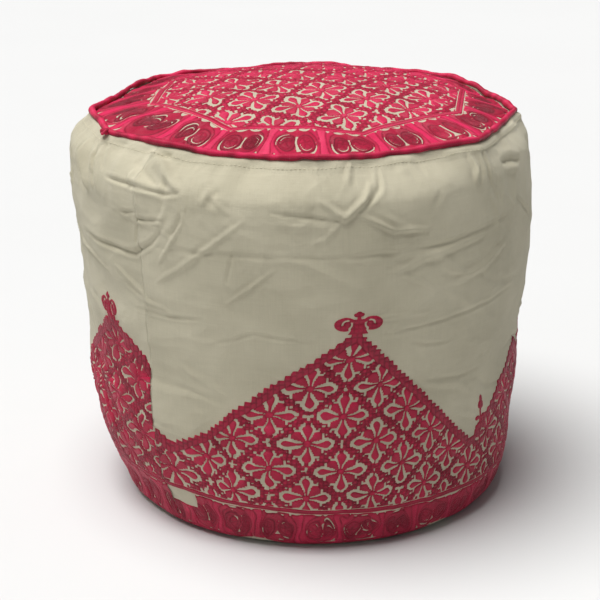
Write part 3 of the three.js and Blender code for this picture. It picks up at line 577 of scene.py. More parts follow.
# ---- materials ----
class Finish:
    """A material under construction. Its nodes take numbers, colours or other nodes' outputs."""

    def __init__(self, name, roughness, **sockets):
        self.material = bpy.data.materials.new(name)
        self.material.use_nodes = True
        self.tree = self.material.node_tree
        self.shader = self.tree.nodes["Principled BSDF"]
        self.shader.inputs["Roughness"].default_value = roughness
        for label, value in sockets.items():
            self.shader.inputs[label.replace("_", " ")].default_value = value

    def feed(self, socket, value):
        if isinstance(value, bpy.types.NodeSocket):
            self.tree.links.new(value, socket)
        else:
            socket.default_value = value

    def add(self, kind, sockets, output=0, **settings):
        """The output of a new node, whose sockets are named or numbered."""
        made = self.tree.nodes.new("ShaderNode" + kind)
        for label, value in settings.items():
            setattr(made, label, value)
        for label, value in sockets.items():
            self.feed(made.inputs[label], value)
        return made.outputs[output]

    def attribute(self, name, output="Fac"):
        return self.add("Attribute", {}, output, attribute_name=name)

    def times(self, first, second):
        return self.add("Math", {0: first, 1: second}, operation="MULTIPLY")

    def plus(self, first, second):
        return self.add("Math", {0: first, 1: second}, operation="ADD")

    def wave(self, value, pitch):
        """Sine of a length, once round for every pitch."""
        return self.add("Math", {0: self.times(value, 2 * math.pi / pitch)}, operation="SINE")

    def stretched(self, vector, scale):
        return self.add("VectorMath", {0: vector, 1: scale}, operation="MULTIPLY")

    def noise(self, vector, scale, detail=3.0, roughness=0.55):
        sockets = {"Vector": vector, "Scale": scale, "Detail": detail, "Roughness": roughness}
        return self.add("TexNoise", sockets)

    def colour(self, factor, low, high):
        """A colour between two, which are colours or outputs."""
        ends = [(*value, 1) if isinstance(value, tuple) else value for value in (low, high)]
        return self.add("Mix", {0: factor, 6: ends[0], 7: ends[1]}, 2, data_type="RGBA")

    def ramp(self, value, low, high):
        return self.add("MapRange", {"Value": value, "From Min": low, "From Max": high})

    def bump(self, height, distance, strength=1.0, under=None):
        sockets = {"Distance": distance, "Strength": strength, "Height": height}
        if under is not None:
            sockets["Normal"] = under
        made = self.add("Bump", sockets)
        self.feed(self.shader.inputs["Normal"], made)
        return made

    def paint(self, colour):
        self.feed(self.shader.inputs["Base Color"], colour)


def woven(name, light, dark, pitch, roughness=0.88, crinkle=0.35, sheen=0.12):
    """Plain-weave cloth on the attribute 'weave', which holds millimetres along weft and warp."""
    made = Finish(name, roughness, Sheen_Weight=sheen, Sheen_Roughness=0.5)
    weave = made.attribute("weave", "Vector")
    weft = made.wave(made.add("SeparateXYZ", {0: weave}, 0), pitch)
    warp = made.wave(made.add("SeparateXYZ", {0: weave}, 1), pitch)
    threads = made.times(weft, warp)
    slub_weft = made.noise(made.stretched(weave, (0.03, 1.6, 1)), 1.0, 2)
    slub_warp = made.noise(made.stretched(weave, (1.6, 0.03, 1)), 1.0, 2)
    slubs = made.plus(slub_weft, slub_warp)
    patches = made.noise(made.stretched(weave, (0.012, 0.012, 1)), 1.0, 4)
    shade = made.plus(made.times(slubs, 0.22), made.times(patches, 0.9))
    # Painted shade: the weave's crossings make the colour darker in the hollows between threads; slubs and
    # patches above are the cotton's own uneven tone.
    shade = made.plus(shade, made.times(threads, 0.10))
    made.paint(made.colour(made.ramp(shade, 0.40, 0.95), dark, light))
    soft = made.noise(made.stretched(weave, (0.11, 0.09, 1)), 1.0, 5, 0.6)
    under = made.bump(soft, 0.0022 * crinkle)
    made.bump(made.plus(made.times(threads, 0.5), slubs), 0.00022, 0.8, under)
    return made.material


def stitched(name, dark, middle, bright, pitch=0.62, sheen=0.06):
    """Satin-stitched floss. 'tone' picks the colour and 'lay' is millimetres across the strands. Besides the
    floss's random tone, 'tone' holds painted light: sheen by stitch direction, shade at the seams and
    highlights.
    """
    made = Finish(name, 0.46, Sheen_Weight=sheen, Sheen_Roughness=0.35, Specular_IOR_Level=0.3,
                  Sheen_Tint=(1.0, 0.45, 0.55, 1))
    lay = made.attribute("lay")
    strand = made.wave(lay, pitch)
    streaks = made.noise(made.add("CombineXYZ", {0: made.times(lay, 1.7)}), 1.0, 2)
    patches = made.noise(made.stretched(made.attribute("weave", "Vector"), (0.05, 0.05, 1)), 1.0, 3)
    varied = made.plus(made.times(streaks, 0.5), made.times(patches, 0.5))
    factor = made.plus(made.attribute("tone"), made.plus(varied, -0.5))
    # Painted shade: the colour is darker in the grooves between strands, where the bump sinks.
    factor = made.plus(factor, made.times(strand, 0.07))
    first = made.colour(made.ramp(factor, 0.0, 0.5), dark, middle)
    made.paint(made.colour(made.ramp(factor, 0.5, 1.0), first, bright))
    made.bump(made.plus(made.times(strand, 0.5), streaks), 0.00016, 0.9)
    return made.material


def plain(name, light, dark, roughness, scale, bump, metallic=0.0, detail=4.0, stretch=(1, 1, 1)):
    """A finish varied by noise over the object's own coordinates."""
    made = Finish(name, roughness, Metallic=metallic)
    place = made.stretched(made.add("TexCoord", {}, "Object"), stretch)
    value = made.noise(place, scale, detail)
    made.paint(made.colour(value, dark, light))
    made.bump(value, bump)
    return made.material


COTTON = woven("cotton_cover", (0.615, 0.568, 0.424), (0.432, 0.395, 0.28), 0.62)
FLOSS = stitched("crimson_floss", (0.17, 0.003, 0.016), (0.42, 0.008, 0.044), (0.76, 0.024, 0.115))
CORD_FLOSS = stitched("crimson_cord_floss", (0.20, 0.003, 0.020), (0.50, 0.010, 0.056), (0.78, 0.026, 0.12))
SEWING = plain("sewing_cotton", (0.74, 0.69, 0.53), (0.50, 0.46, 0.33), 0.75, 900, 0.0001)
LINING = woven("lining_cloth", (0.86, 0.84, 0.78), (0.72, 0.70, 0.64), 0.9, 0.93, 0.8)
TAPE = woven("zip_tape_weave", (0.74, 0.70, 0.56), (0.52, 0.49, 0.37), 0.8, 0.8, 0.05)
TEETH = plain("zip_teeth_nylon", (0.82, 0.78, 0.66), (0.70, 0.66, 0.54), 0.35, 300, 0.00004)
METAL = plain("zip_nickel", (0.66, 0.64, 0.60), (0.46, 0.45, 0.42), 0.28, 700, 0.00004, 1.0, 3.0, (1, 6, 1))
FIBRE = plain("polyester_fibre", (0.93, 0.92, 0.89), (0.78, 0.77, 0.74), 0.95, 140, 0.0015, detail=8.0)
FLOOR = plain("studio_floor", (0.66, 0.66, 0.655), (0.63, 0.63, 0.625), 0.8, 2.0, 0.00002)


# ---- cover: side panels ----
def side_weave(angle, place):
    return np.stack(np.broadcast_arrays(angle * MM_PER_DEGREE, place, 0.0), -1)


def make_side_panels():
    half = SIDE_COLUMNS // 2
    seam_gap = 0.002
    for tag, first in (("front", 0), ("back", half)):
        angle = side_angles[first:first + half + 1].copy()
        angle[0] += seam_gap
        angle[-1] -= seam_gap
        a, p = np.meshgrid(angle, side_places, indexing="ij")
        outer = on_side(a, p, np.zeros_like(a))
        inner = on_side(a, p, np.full_like(a, -1.0))
        inner[..., 2] = np.maximum(inner[..., 2], outer[..., 2] - 0.9)
        piece = make_slab(f"side_cover_{tag}", outer, inner, side_weave(a, p), COTTON,
                          [f"side_panel_{tag}"])


def make_seam_allowances():
    """Pressed-open allowances behind the two upright seams, with slightly frayed long edges."""
    places = np.linspace(60, 366, 220)
    for name, seam in (("side_seam_left", SEAM_LEFT), ("side_seam_right", SEAM_RIGHT)):
        reach = np.linspace(-2.5, 2.5, 25)
        a, p = np.meshgrid(seam + reach, places, indexing="ij")
        frayed = 0.12 * soft_noise(31, p / 306, p / 306, 90, 2) * np.abs(reach / 2.5)[:, None] ** 4
        a = a + frayed
        depth = -2.6 - 0.3 * np.abs(np.sin(p / 9)) * np.abs(reach / 2.5)[:, None]
        outer, inner = on_side(a, p, depth), on_side(a, p, depth - 0.8)
        make_slab(f"{name}_allowance", outer, inner, side_weave(a, p), COTTON, [name])


# ---- cover: top panel, cord, knot, topstitching ----
TOP_COLUMNS = 480
TOP_RINGS = 90


def make_top_panel():
    angles = np.arange(TOP_COLUMNS) * 360 / TOP_COLUMNS
    shares = np.arange(1, TOP_RINGS + 1) / TOP_RINGS
    a, s = np.meshgrid(angles, shares, indexing="ij")
    flat = polar(a, s * (edge_radius(a) - TOP_RIM), 0.0)
    layers, weaves = [], []
    for lift in (0.0, -1.4):
        centre = on_top(np.zeros(1), np.zeros(1), np.full(1, lift))
        ring = on_top(flat[..., 0], flat[..., 1], np.full(a.shape, lift))
        layers.append(np.concatenate([centre, ring.reshape(-1, 3)]))
        weaves.append(np.concatenate([np.zeros((1, 3)), flat.reshape(-1, 3)]))
    piece = make_piece("top_cover", np.concatenate(layers), disc_faces(TOP_COLUMNS, TOP_RINGS), COTTON,
                       ["top_panel"], np.concatenate(weaves))


def cord_path(angles):
    u = angles / 360
    wander = 0.9 * ring_noise(41, u, 46)
    rise = 1.3 * ring_noise(42, u, 38) + 0.6 * ring_noise(43, u, 100)
    return polar(angles, edge_radius(angles) - CORD_INSET + wander, CORD_Z + 0.2 + rise)


def make_edge_cord():
    """Padded cord wound with floss, a little uneven, as hand work is."""
    steps, sides = 2400, 14
    angles = np.arange(steps) * 360 / steps
    turn = np.linspace(0, 2 * np.pi, sides, endpoint=False)
    u = np.broadcast_to((angles / 360)[:, None], (steps, sides))
    winds = 620
    ridges = 0.10 * np.sin(2 * np.pi * winds * u + turn[None, :])
    radii = CORD_RADIUS + 0.15 + 0.6 * ring_noise(44, u, 80) + 0.3 * ring_noise(46, u, 210) + ridges
    points, faces = tube(cord_path(angles), radii, sides, closed=True)
    lay = (u * 1290 + turn[None, :] * 0.8).ravel()
    # Painted highlight: the cord's upper side (sin of turn) is lighter; the ring noise is the floss's random
    # tone.
    tone = (0.38 + 0.30 * ring_noise(45, u, 160) + 0.20 * np.sin(turn)[None, :]).ravel()
    weave = np.stack([u.ravel() * 1290, np.broadcast_to(turn * 3, u.shape).ravel(), np.zeros(u.size)], -1)
    make_piece("edge_cord", points, faces, CORD_FLOSS, ["top_edge_cord"], weave,
               {"tone": tone, "lay": lay})


def make_knot():
    """The cord's end, tied in a small knot at the sharp corner."""
    low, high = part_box("edge_cord_knot")
    centre = (low + high) / 2 / MM
    steps, sides = 160, 10
    t = np.linspace(0, 2 * np.pi, steps, endpoint=False)
    across = np.sin(t) + 2 * np.sin(2 * t)
    along = np.cos(t) - 2 * np.cos(2 * t)
    trefoil = np.stack([across, along, -1.3 * np.sin(3 * t)], -1)
    inward = polar(KNOT_ANGLE, -1.6, 0.0)
    path = np.array(centre) + inward + trefoil * 1.0
    points, faces = tube(path, 1.7, sides, closed=True, up=(0.3, 0.2, 1))
    u = np.repeat(t, sides)
    make_piece("edge_cord_end_knot", points, faces, CORD_FLOSS, ["edge_cord_knot"], points,
               {"tone": 0.5 + 0.2 * np.sin(3 * u), "lay": u * 9})


def stitch_row(place_at, count, length, thickness):
    """Short round stitches: place_at(share) gives a point on the cloth and its normal."""
    parts = []
    for k in range(count):
        shares = (k + 0.5 + np.linspace(-0.5, 0.5, 6) * length) / count
        points, normals = place_at(shares)
        arch = thickness * (np.sin(np.linspace(0, np.pi, 6)) * 1.1 - 0.35)
        path = points + normals * arch[:, None]
        radii = thickness * np.array([0.35, 0.8, 1, 1, 0.8, 0.35])[:, None] * np.ones((1, 6))
        parts.append(tube(path, radii, 6, up=normals[3]))
    return joined(parts)


def make_topstitching():
    def place_at(share):
        angle = SEAM_LEFT + share * 360
        place = 376.6 + 0.5 * ring_noise(51, share, 60)
        base = on_side(angle, place, np.zeros_like(angle))
        lifted = on_side(angle, place, np.ones_like(angle))
        return base, lifted - base

    points, faces = stitch_row(place_at, 330, 0.66, 0.36)
    make_piece("hem_topstitching", points, faces, SEWING, ["top_stitching"])


# ---- embroidery ----
def thread_height(cut, seam):
    """Padded profile of the stitching: rises from the outline, dips at the seams between stitched areas."""
    rise = THREAD_HEIGHT * (1 - np.exp(-np.maximum(cut, 0) / 0.8))
    return rise * (1 - 0.55 * np.exp(-(seam / 0.5) ** 2))


def with_painted_seam_shade(tone, seam):
    """Painted shade: stitching is darkened where two stitched areas meet, in the dip between them."""
    return tone - 0.30 * np.exp(-(seam / 0.7) ** 2)


def box_field(x, y, x0, x1, y0, y1):
    return np.minimum(np.minimum(x - x0, x1 - x), np.minimum(y - y0, y1 - y))


def square_field(x, y, side):
    """Distance from the edges of a chequer of squares."""
    half = side / 2
    return half - np.maximum(np.abs(np.mod(x, side) - half), np.abs(np.mod(y, side) - half))


STEP = 2.6                       # counted-thread step
CELL = 30.25                     # centre of a rosette to the corner of its diamond
SQUARE = 3.8                     # stitched squares in the bands between rosettes
BAND_FROM = 16.6                 # distance of the bands' edges from a rosette's centre
HEART = 3.2                      # radius of a rosette's middle
PETAL = {"reach": [0, 3, 8, 12, 15.5, 18, 19.8, 21], "half": [0.8, 0.8, 1.4, 2.9, 4.1, 3.5, 1.2, -1.4]}
GAP = {"reach": [3.9, 6.5, 9.1, 11.7, 14.3, 16.9, 19.5, 22.1],
       "half": [1.8, 2.8, 3.9, 5.1, 6.5, 6.6, 5.3, 3.3]}


def whim(*numbers):
    """A repeatable value between -1 and 1 for each set of whole numbers: no two hand-made motifs match."""
    mixed = sum(number * factor for number, factor in zip(numbers, (12.9898, 78.233, 37.719, 9.151)))
    return 2 * np.mod(np.sin(mixed) * 437.585, 1) - 1


def rosette(p, q):
    """Lattice of eight-petalled rosettes in diamonds; p and q count half diagonals from a centre."""
    u, v = (p + q) / 2, (p - q) / 2
    row, column = np.round(u), np.round(v)
    u, v = u - row, v - column
    x, y = (u + v) * CELL, (u - v) * CELL
    upright = np.abs(y) > np.abs(x)
    along, side = np.maximum(np.abs(x), np.abs(y)), np.minimum(np.abs(x), np.abs(y))
    quarter = 2 * upright + (np.where(upright, y, x) > 0)
    half = np.where(upright, x, y) > 0
    fat, thin = whim(row, column, quarter), whim(row, column, quarter, 1 + half)
    reach = np.where(upright, along * 0.95, along * 1.02) * (1 + 0.04 * fat)
    stepped = (np.floor(reach / STEP) + 0.5) * STEP
    petal = np.interp(reach, PETAL["reach"], PETAL["half"]) + 0.35 * fat * (reach > 8) - side
    outer = np.interp(stepped, GAP["reach"], GAP["half"]) + 0.75 * thin * (reach > 5) - side
    gap = np.minimum(outer, np.minimum(along - 3.4 - 0.6 * thin, 22.8 - reach + 0.6 * thin))
    gap = np.maximum(gap, box_field(reach, side, 12.6, 14.4, -1, 10.2 + 1.2 * thin))
    tip = np.where(upright, 1.0, -1.5) + 2.2 * fat
    gap = np.minimum(gap, np.maximum(side - tip, 19.4 - reach))
    gap = np.minimum(gap, -petal)
    speck = box_field(along, side, 15.3, 17.4, 9.2, 11.0) + 0.5 * fat - 0.2
    bar = box_field(along, side, 25.8, 31, -1, 1.1) + 1.1 * fat - 0.6
    gap = np.maximum.reduce([gap, speck, bar])
    distance = np.hypot(x, y)
    diagonal = (along + side) / math.sqrt(2)
    in_band = diagonal > BAND_FROM
    seam = np.where(in_band, square_field(x, y, SQUARE), np.abs(distance - HEART) + 0.1)
    seam = np.minimum(seam, np.abs(diagonal - BAND_FROM) + 0.05)
    in_petal = (petal > -0.4) & (along > 3)
    parity = np.mod(np.floor(x / SQUARE) + np.floor(y / SQUARE), 2)
    # Painted sheen: each area's tone goes with its stitch direction (lay below), the band's squares
    # alternating with theirs; fat adds a random tone to each quarter.
    tone = np.where(in_band, 0.34 + 0.16 * parity, 0.42)
    tone = np.where(in_petal, 0.48, np.where(distance < HEART, 0.55, tone)) + 0.10 * fat
    flat = np.where(upright, y, x)
    lay = np.where(in_petal, flat, np.where(in_band, np.where(parity > 0, x, y), (x + y) / math.sqrt(2)))
    return {"cut": -gap, "seam": seam, "tone": tone, "lay": lay}


OUTLINE_BAND = 8.0
OUTLINE_SQUARE = 5.3


def with_outline(pattern, depth, x):
    """Adds the solid stepped line along the lattice's upper edge; depth is measured in from that edge."""
    in_band = depth < OUTLINE_BAND
    filled = np.maximum(pattern["cut"], np.minimum(OUTLINE_BAND - depth, 2.0))
    pattern["cut"] = np.minimum(np.where(in_band, filled, pattern["cut"]), depth)
    squares = OUTLINE_SQUARE / 2 - np.abs(np.mod(x, OUTLINE_SQUARE) - OUTLINE_SQUARE / 2)
    pattern["seam"] = np.where(in_band, np.minimum(squares, np.abs(depth - 4.2)), pattern["seam"])
    pattern["seam"] = np.minimum(pattern["seam"], np.abs(depth - OUTLINE_BAND) + 0.1)
    pattern["tone"] = np.where(in_band, 0.34, pattern["tone"])
    pattern["lay"] = np.where(in_band, x, pattern["lay"])
    return pattern


# Lattice columns: (angle, number of half diagonals), and where each panel's first row of rosettes lies.
FRONT_COLUMNS = [(-42, -5.45), (-37.5, -5), (-31, -4.5), (-25.5, -4), (-18.9, -3), (-9.4, -2), (0.2, -1),
                 (9, 0), (17.6, 1), (25.7, 2), (33.6, 3), (41, 4), (49.2, 5), (57.2, 6), (65.6, 7), (74, 8),
                 (84.5, 9), (97, 10), (130, 15), (138, 16.1)]
SHOULDER_ANGLE = 83.0            # where the second front triangle's edge sags
SHOULDER_SLACK = 50.0            # and by how much
BACK_COLUMNS = [(138, -18.2), (167, -15), (212.5, -10), (258, -5), (304, 0), (318, 1.5)]
BACK_FIRST_ROW = [(138, 196), (258, 196), (304, 185), (318, 187)]
FRONT_FIRST_ROW = 201.8
FRONT_MIDDLE = 9.0               # angle of the first front triangle's tip
FRONT_LEAN = [(0, -1.0), (84, -0.9), (145, -0.3), (173, 0.1), (202, 0.9), (230, 2.6), (260, 4)]
ROW = 28.0


def front_lean(angle, place):
    """Degrees by which the first front triangle has slipped round at each height."""
    return np.interp(place, *zip(*FRONT_LEAN)) * (1 - fade(np.abs(angle - FRONT_MIDDLE), 30, 45))


def front_lattice(angle, place):
    p = np.interp(angle - front_lean(angle, place), *zip(*FRONT_COLUMNS))
    lifted = 0.6 * np.clip(-p - 1, 0, 4) ** 2 * (1 - fade(place, 95, 150))
    return p, (place - FRONT_FIRST_ROW - lifted) / ROW


def back_lattice(angle, place):
    p = np.interp(angle, *zip(*BACK_COLUMNS))
    return p, (place - np.interp(angle, *zip(*BACK_FIRST_ROW))) / ROW


def outline_depth(p, q, angle, place):
    """Depth below the zigzag: a tip at every tenth column, stepped edges and one slack shoulder."""
    slack = SHOULDER_SLACK * np.exp(-((angle - SHOULDER_ANGLE) / 7.5) ** 2) / ROW
    q = q + slack
    run = (np.floor(p * 6) + 0.5) / 6
    top = 1 - np.abs(np.mod(run + 5, 10) - 5)
    smooth_top = 1 - np.abs(np.mod(p + 5, 10) - 5)
    inner = (smooth_top - q) * ROW * 0.75
    return np.where(inner < 5, np.minimum(inner + 2.0, (top - q) * ROW * 0.9 + 0.8), inner)


def sew(name, pattern, first, second, on_surface, weave_of, replaces):
    """Makes the raised stitching of a pattern over a grid of places on a surface."""
    patch = Patch(pattern["cut"])
    a, b = patch.between(first), patch.between(second)
    height = patch.between(thread_height(pattern["cut"], pattern["seam"]))
    height = np.where(patch.rim, -0.2, height + 0.12)
    # the tone takes the painted seam shade here
    tone = patch.inside(with_painted_seam_shade(pattern["tone"], pattern["seam"]))
    floats = {"tone": tone, "lay": patch.inside(pattern["lay"])}
    make_piece(name, on_surface(a, b, height), patch.faces, FLOSS, replaces,
               weave_of(a, b), floats)


def sew_on_side(name, pattern, angle, place, replaces):
    sew(name, pattern, angle, place, on_side, side_weave, replaces)


STITCH_GRID = 0.85


def side_grid(first, last, low, high):
    columns = int((last - first) * MM_PER_DEGREE / STITCH_GRID)
    rows = int((high - low) / STITCH_GRID)
    return np.meshgrid(np.linspace(first, last, columns), np.linspace(low, high, rows), indexing="ij")


PANELS = {
    "front": {"first": SEAM_LEFT + 0.1, "last": SEAM_RIGHT - 0.1, "lattice": front_lattice,
              "border_from": SEAM_LEFT + 0.1},
    "back": {"first": SEAM_RIGHT + 0.1, "last": SEAM_LEFT + 360 - 0.1, "lattice": back_lattice,
             "border_from": SEAM_RIGHT + 0.1},
}


def make_lattices():
    for tag, panel in PANELS.items():
        angle, place = side_grid(panel["first"], panel["last"], 33, 236)
        p, q = panel["lattice"](angle, place)
        u, v = angle / 360, place / 240
        gathered = fade(np.cos(np.radians(angle + 55)), 0.94, 0.98)
        p = p + (0.034 + 0.05 * gathered) * soft_noise(63, u, v, 130, 26)
        q = q + (0.040 + 0.06 * gathered) * soft_noise(64, u, v, 130, 26)
        pattern = with_outline(rosette(p, q), outline_depth(p, q, angle, place), angle * MM_PER_DEGREE)
        above_line = place - (line_height(angle) + BORDER_LINE_WIDTH + 0.3)
        pattern["cut"] = np.minimum(pattern["cut"] + 0.5 * gathered * (pattern["cut"] > -3), above_line)
        sew_on_side(f"lattice_{tag}", pattern, angle, place, [f"lattice_embroidery_{tag}"])


def make_border_lines():
    """Two close rows of satin stitch between the lattice and the border."""
    for tag, panel in PANELS.items():
        angle, place = side_grid(panel["first"], panel["last"], 30, 58)
        middle = line_height(angle) + BORDER_LINE_WIDTH / 2
        wave = 0.25 * ring_noise(61, angle / 360, 200)
        away = place - middle - wave
        pattern = {"cut": BORDER_LINE_WIDTH / 2 - np.abs(away), "seam": np.abs(away),
                   "tone": np.where(away > 0, 0.48, 0.40), "lay": angle * MM_PER_DEGREE}
        sew_on_side(f"double_line_{tag}", pattern, angle, place, [f"border_line_{tag}"])


def flower_band(x, y, width, period, size):
    """Band of split leaf pairs in rings, with bright waisted spokes between them.

    x runs along the band and y across it, from 0 at the lattice's line to width at the outer edge.
    """
    number = np.round(x / period)
    local = (x - number * period) * size["period"] / period
    half = size["band"] / 2
    up = (y / width * 2 - 1) * half
    way = local > 0
    own, other = whim(number, 1, size["hand"]), whim(number, 2 + way, size["hand"])
    local = local - 1.2 * own
    between = size["period"] / 2 - np.abs(local) - 1.2 * own * np.sign(local)
    side = np.abs(local)
    leaf_x, leaf_wide, leaf_tall = size["leaf"]
    leaf_tall = leaf_tall * (1 + 0.10 * other)
    centre = 0.8 + 1.2 * other
    leaf = (1 - np.hypot((side - leaf_x) / leaf_wide, (up - centre) / leaf_tall)) * leaf_wide
    ring_wide, ring_tall = size["ring"]
    ring = (1 - np.hypot(local / ring_wide, up / ring_tall)) * ring_tall
    cream = size["cream"]
    slit = (0.75 + 0.45 * own) * cream + 1.3 * (up / 8) ** 4 - side
    slit = np.minimum(slit, leaf_tall * 0.8 - np.abs(up - centre))
    turn = np.arctan2(up - centre, side - leaf_x)
    arc = 0.85 * cream * np.cos(turn * 1.2 - 1.4 * other) - np.abs(leaf + 1.4)
    arc = np.where(side > leaf_x - 6, arc, -1)
    inner_line = 0.5 * cream * np.cos(turn - 2.0 * other - 0.4) - np.abs(leaf - 2.6)
    inward, outward = half + up, half - up
    crescent = np.minimum(inward - 1.0, 5.6 * cream * (1 - ((side - 7.5) / 7.6) ** 2) - inward)
    crescent = np.minimum(crescent, -leaf - 0.8)
    foot = np.minimum(5.0 * cream * (1 + 0.4 * other) - 0.8 * side - outward, -leaf - 0.8)
    from_hook = np.abs(between - 8.2 - 1.3 * other)
    hooks = np.minimum(10.0 * cream - outward - 2.0 * from_hook, 2.6 * cream - 0.55 * from_hook)
    small = 4.2 * cream - inward - 1.5 * np.abs(between - 7.4)
    gap = np.maximum.reduce([slit, arc, inner_line, crescent, foot * 0.8, hooks * 0.6, small * 0.6])
    spoke = 3.2 + 3.0 * (up / half) ** 2 - between
    seam = np.minimum(np.minimum(np.abs(leaf), np.abs(spoke)), np.abs(ring) + 0.1)
    veins = np.abs(np.mod(turn / (2 * np.pi) * 5, 1) - 0.5) * np.hypot(side - leaf_x, up) * 1.1
    seam = np.minimum(seam, np.where(leaf > 2.6, veins + 0.2, np.abs(leaf - 2.6) + 0.15))
    areas = [spoke > 0, leaf > 0, ring > 0]
    # Painted sheen: the tone of each area goes with its stitch direction (lay below); own and other add each
    # motif's random tone.
    tone = np.select(areas, [0.88, 0.26 + 0.14 * other, 0.40], 0.66) + 0.14 * own
    lay = np.select(areas, [y, local + 0.4 * up, turn * leaf_wide], x)
    return {"cut": np.minimum(np.minimum(-gap, y), width - y), "seam": seam, "tone": tone, "lay": lay}


# Drawn size of one motif: leaf as (place, half width, half height), ring as half sizes, cream as how much
# of the cloth shows, hand as which hand's small unevenness it has.
TOP_FLOWER = {"band": 40.0, "period": 54.0, "leaf": (9.6, 8.4, 10.4), "ring": (21.0, 18.0), "cream": 0.75,
              "hand": 1}
SIDE_FLOWER = {"band": 38.0, "period": 54.0, "leaf": (9.8, 8.0, 10.6), "ring": (20.5, 17.5), "cream": 0.55,
               "hand": 2}
FLOWERS_PER_PANEL = 16
FLOWERS_ON_TOP = 21
SIDE_PERIOD = 180 * MM_PER_DEGREE / FLOWERS_PER_PANEL
TOP_PERIOD_DEGREES = 360 / FLOWERS_ON_TOP
TOP_FIRST_FLOWER = -3.8          # angle of one ring's centre


def make_side_borders():
    for tag, panel in PANELS.items():
        angle, place = side_grid(panel["border_from"], panel["last"], -5, 50)
        u = angle / 360
        foot = BORDER_FOOT - 7.0 + 3.0 * ring_noise(62, u, 40)
        foot += 8.0 * np.exp(-((angle + 14) / 6) ** 2) + 6.0 * np.exp(-((angle - 40) / 7) ** 2)
        top = line_height(angle) - 0.3
        x = (angle - SEAM_LEFT) * MM_PER_DEGREE
        warp = 4.5 * soft_noise(65, u, place / 50, 130, 4)
        sway = 3.5 * soft_noise(69, u, place / 50, 110, 4)
        pattern = flower_band(x + warp, top - place + sway, top - BORDER_FOOT, SIDE_PERIOD, SIDE_FLOWER)
        sparse = 0.45 + 1.1 * soft_noise(70, u, place / 50, 160, 5)
        pattern["cut"] = np.where(place < BORDER_FOOT, 0.8, pattern["cut"] + sparse)
        pattern["cut"] = np.minimum(pattern["cut"], place - foot)
        patch = (angle - BORDER_START_FRONT) * MM_PER_DEGREE + 1.5 * soft_noise(73, u, place / 50, 60, 9)
        pattern["cut"] = np.minimum(pattern["cut"], np.maximum(patch, BARE_FROM - place))
        pattern["cut"] = np.minimum(pattern["cut"], top - place)
        # The side border is held to darker tones than the top border, which keeps the full tones: painted
        # light, the top lit from overhead and the side in shade.
        pattern["tone"] = 0.22 + 0.42 * pattern["tone"]
        sew_on_side(f"flower_border_{tag}", pattern, angle, place, [f"border_embroidery_{tag}"])


# ---- ornaments over the lattice's corners ----
def stroke(x, y, path, widths):
    """Field of a drawn line whose half width changes along it."""
    field = np.full(x.shape, -9.0)
    for (x0, y0), (x1, y1), w0, w1 in zip(path, path[1:], widths, widths[1:]):
        length = (x1 - x0) ** 2 + (y1 - y0) ** 2
        s = np.clip(((x - x0) * (x1 - x0) + (y - y0) * (y1 - y0)) / length, 0, 1)
        away = np.hypot(x - x0 - s * (x1 - x0), y - y0 - s * (y1 - y0))
        field = np.maximum(field, w0 + (w1 - w0) * s - away)
    return field


def oval(x, y, centre_x, centre_y, wide, tall):
    return (1 - np.hypot((x - centre_x) / wide, (y - centre_y) / tall)) * min(wide, tall)


def apex_field(x, y):
    """Two fat scrolls, each with a thin curled slit, beside a stem with a small bud."""
    side = np.abs(x)
    scroll = oval(side, y, 11.9, 12.4, 9.9, 6.9)
    curl_x, curl_y = side - 10.2, y - 11.9
    turn = np.degrees(np.arctan2(curl_y, curl_x))
    slit = 0.75 - np.abs(np.hypot(curl_x, curl_y) - 4.2)
    slit = np.where((turn > -120) & (turn < -8), -1, slit)
    slit = np.maximum(slit, stroke(side, y, [(8.2, 8.3), (7.6, 4.6)], [0.8, 1.1]))
    scroll = np.minimum(scroll, -slit)
    foot = np.interp(y, [2, 5, 8, 12, 18], [9.5, 7.6, 5.6, 3.4, 1.8]) - side
    foot = np.minimum(foot, np.minimum(y - 2, 21 - y))
    link = np.minimum(oval(side, y, 4.5, 15.5, 4.5, 1.7), 9 - side)
    bud = np.maximum(oval(x, y, 0, 21.8, 3.0, 2.7), oval(side, y, 2.7, 21.0, 2.2, 1.9))
    return np.maximum.reduce([scroll, foot, link, bud])


def valley_field(x, y):
    """A stem with three pairs of round leaves and a long bud."""
    side = np.abs(x)
    field = np.minimum(1.3 - side, np.minimum(y + 4, 44 - y))
    for height, reach in ((7, 4.4), (16, 4.9), (26, 4.9)):
        field = np.maximum(field, oval(side, y, reach, height, 3.4, 2.9))
        field = np.maximum(field, np.minimum(1.5 - np.abs(y - height + 1), reach - side))
    return np.maximum(field, np.maximum(oval(x, y, 0, 40, 4.2, 5.2), oval(x, y, 0.6, 45.5, 2.8, 4.6)))


def front_place(p, q):
    """Angle and height of a lattice corner on the front panel, the lean included."""
    angles, columns = zip(*FRONT_COLUMNS)
    angle, place = np.interp(p, columns, angles), FRONT_FIRST_ROW + q * ROW
    return angle + front_lean(angle, place), place


# Each kind's places, the half width and height of its field, its lean and how far it sinks into the lattice.
FINIALS = {
    "apex": {"places": [front_place(0, 1), front_place(10, 1), (212.5, 224.0), (304.0, 213.0)],
             "field": apex_field, "half": 23, "tall": 26, "lean": 0.03, "sink": 5.3},
    "valley": {"places": [(53.6, 83.0), front_place(15, -4), (167.0, 84.0), (258.0, 84.0)],
               "field": valley_field, "half": 11, "tall": 52, "lean": -0.14, "sink": 0.0},
}
SLIM_FINIAL = {"name": "apex_finial_4", "slim": 0.62, "lean": -0.35}
FINIAL_GRID = 0.6


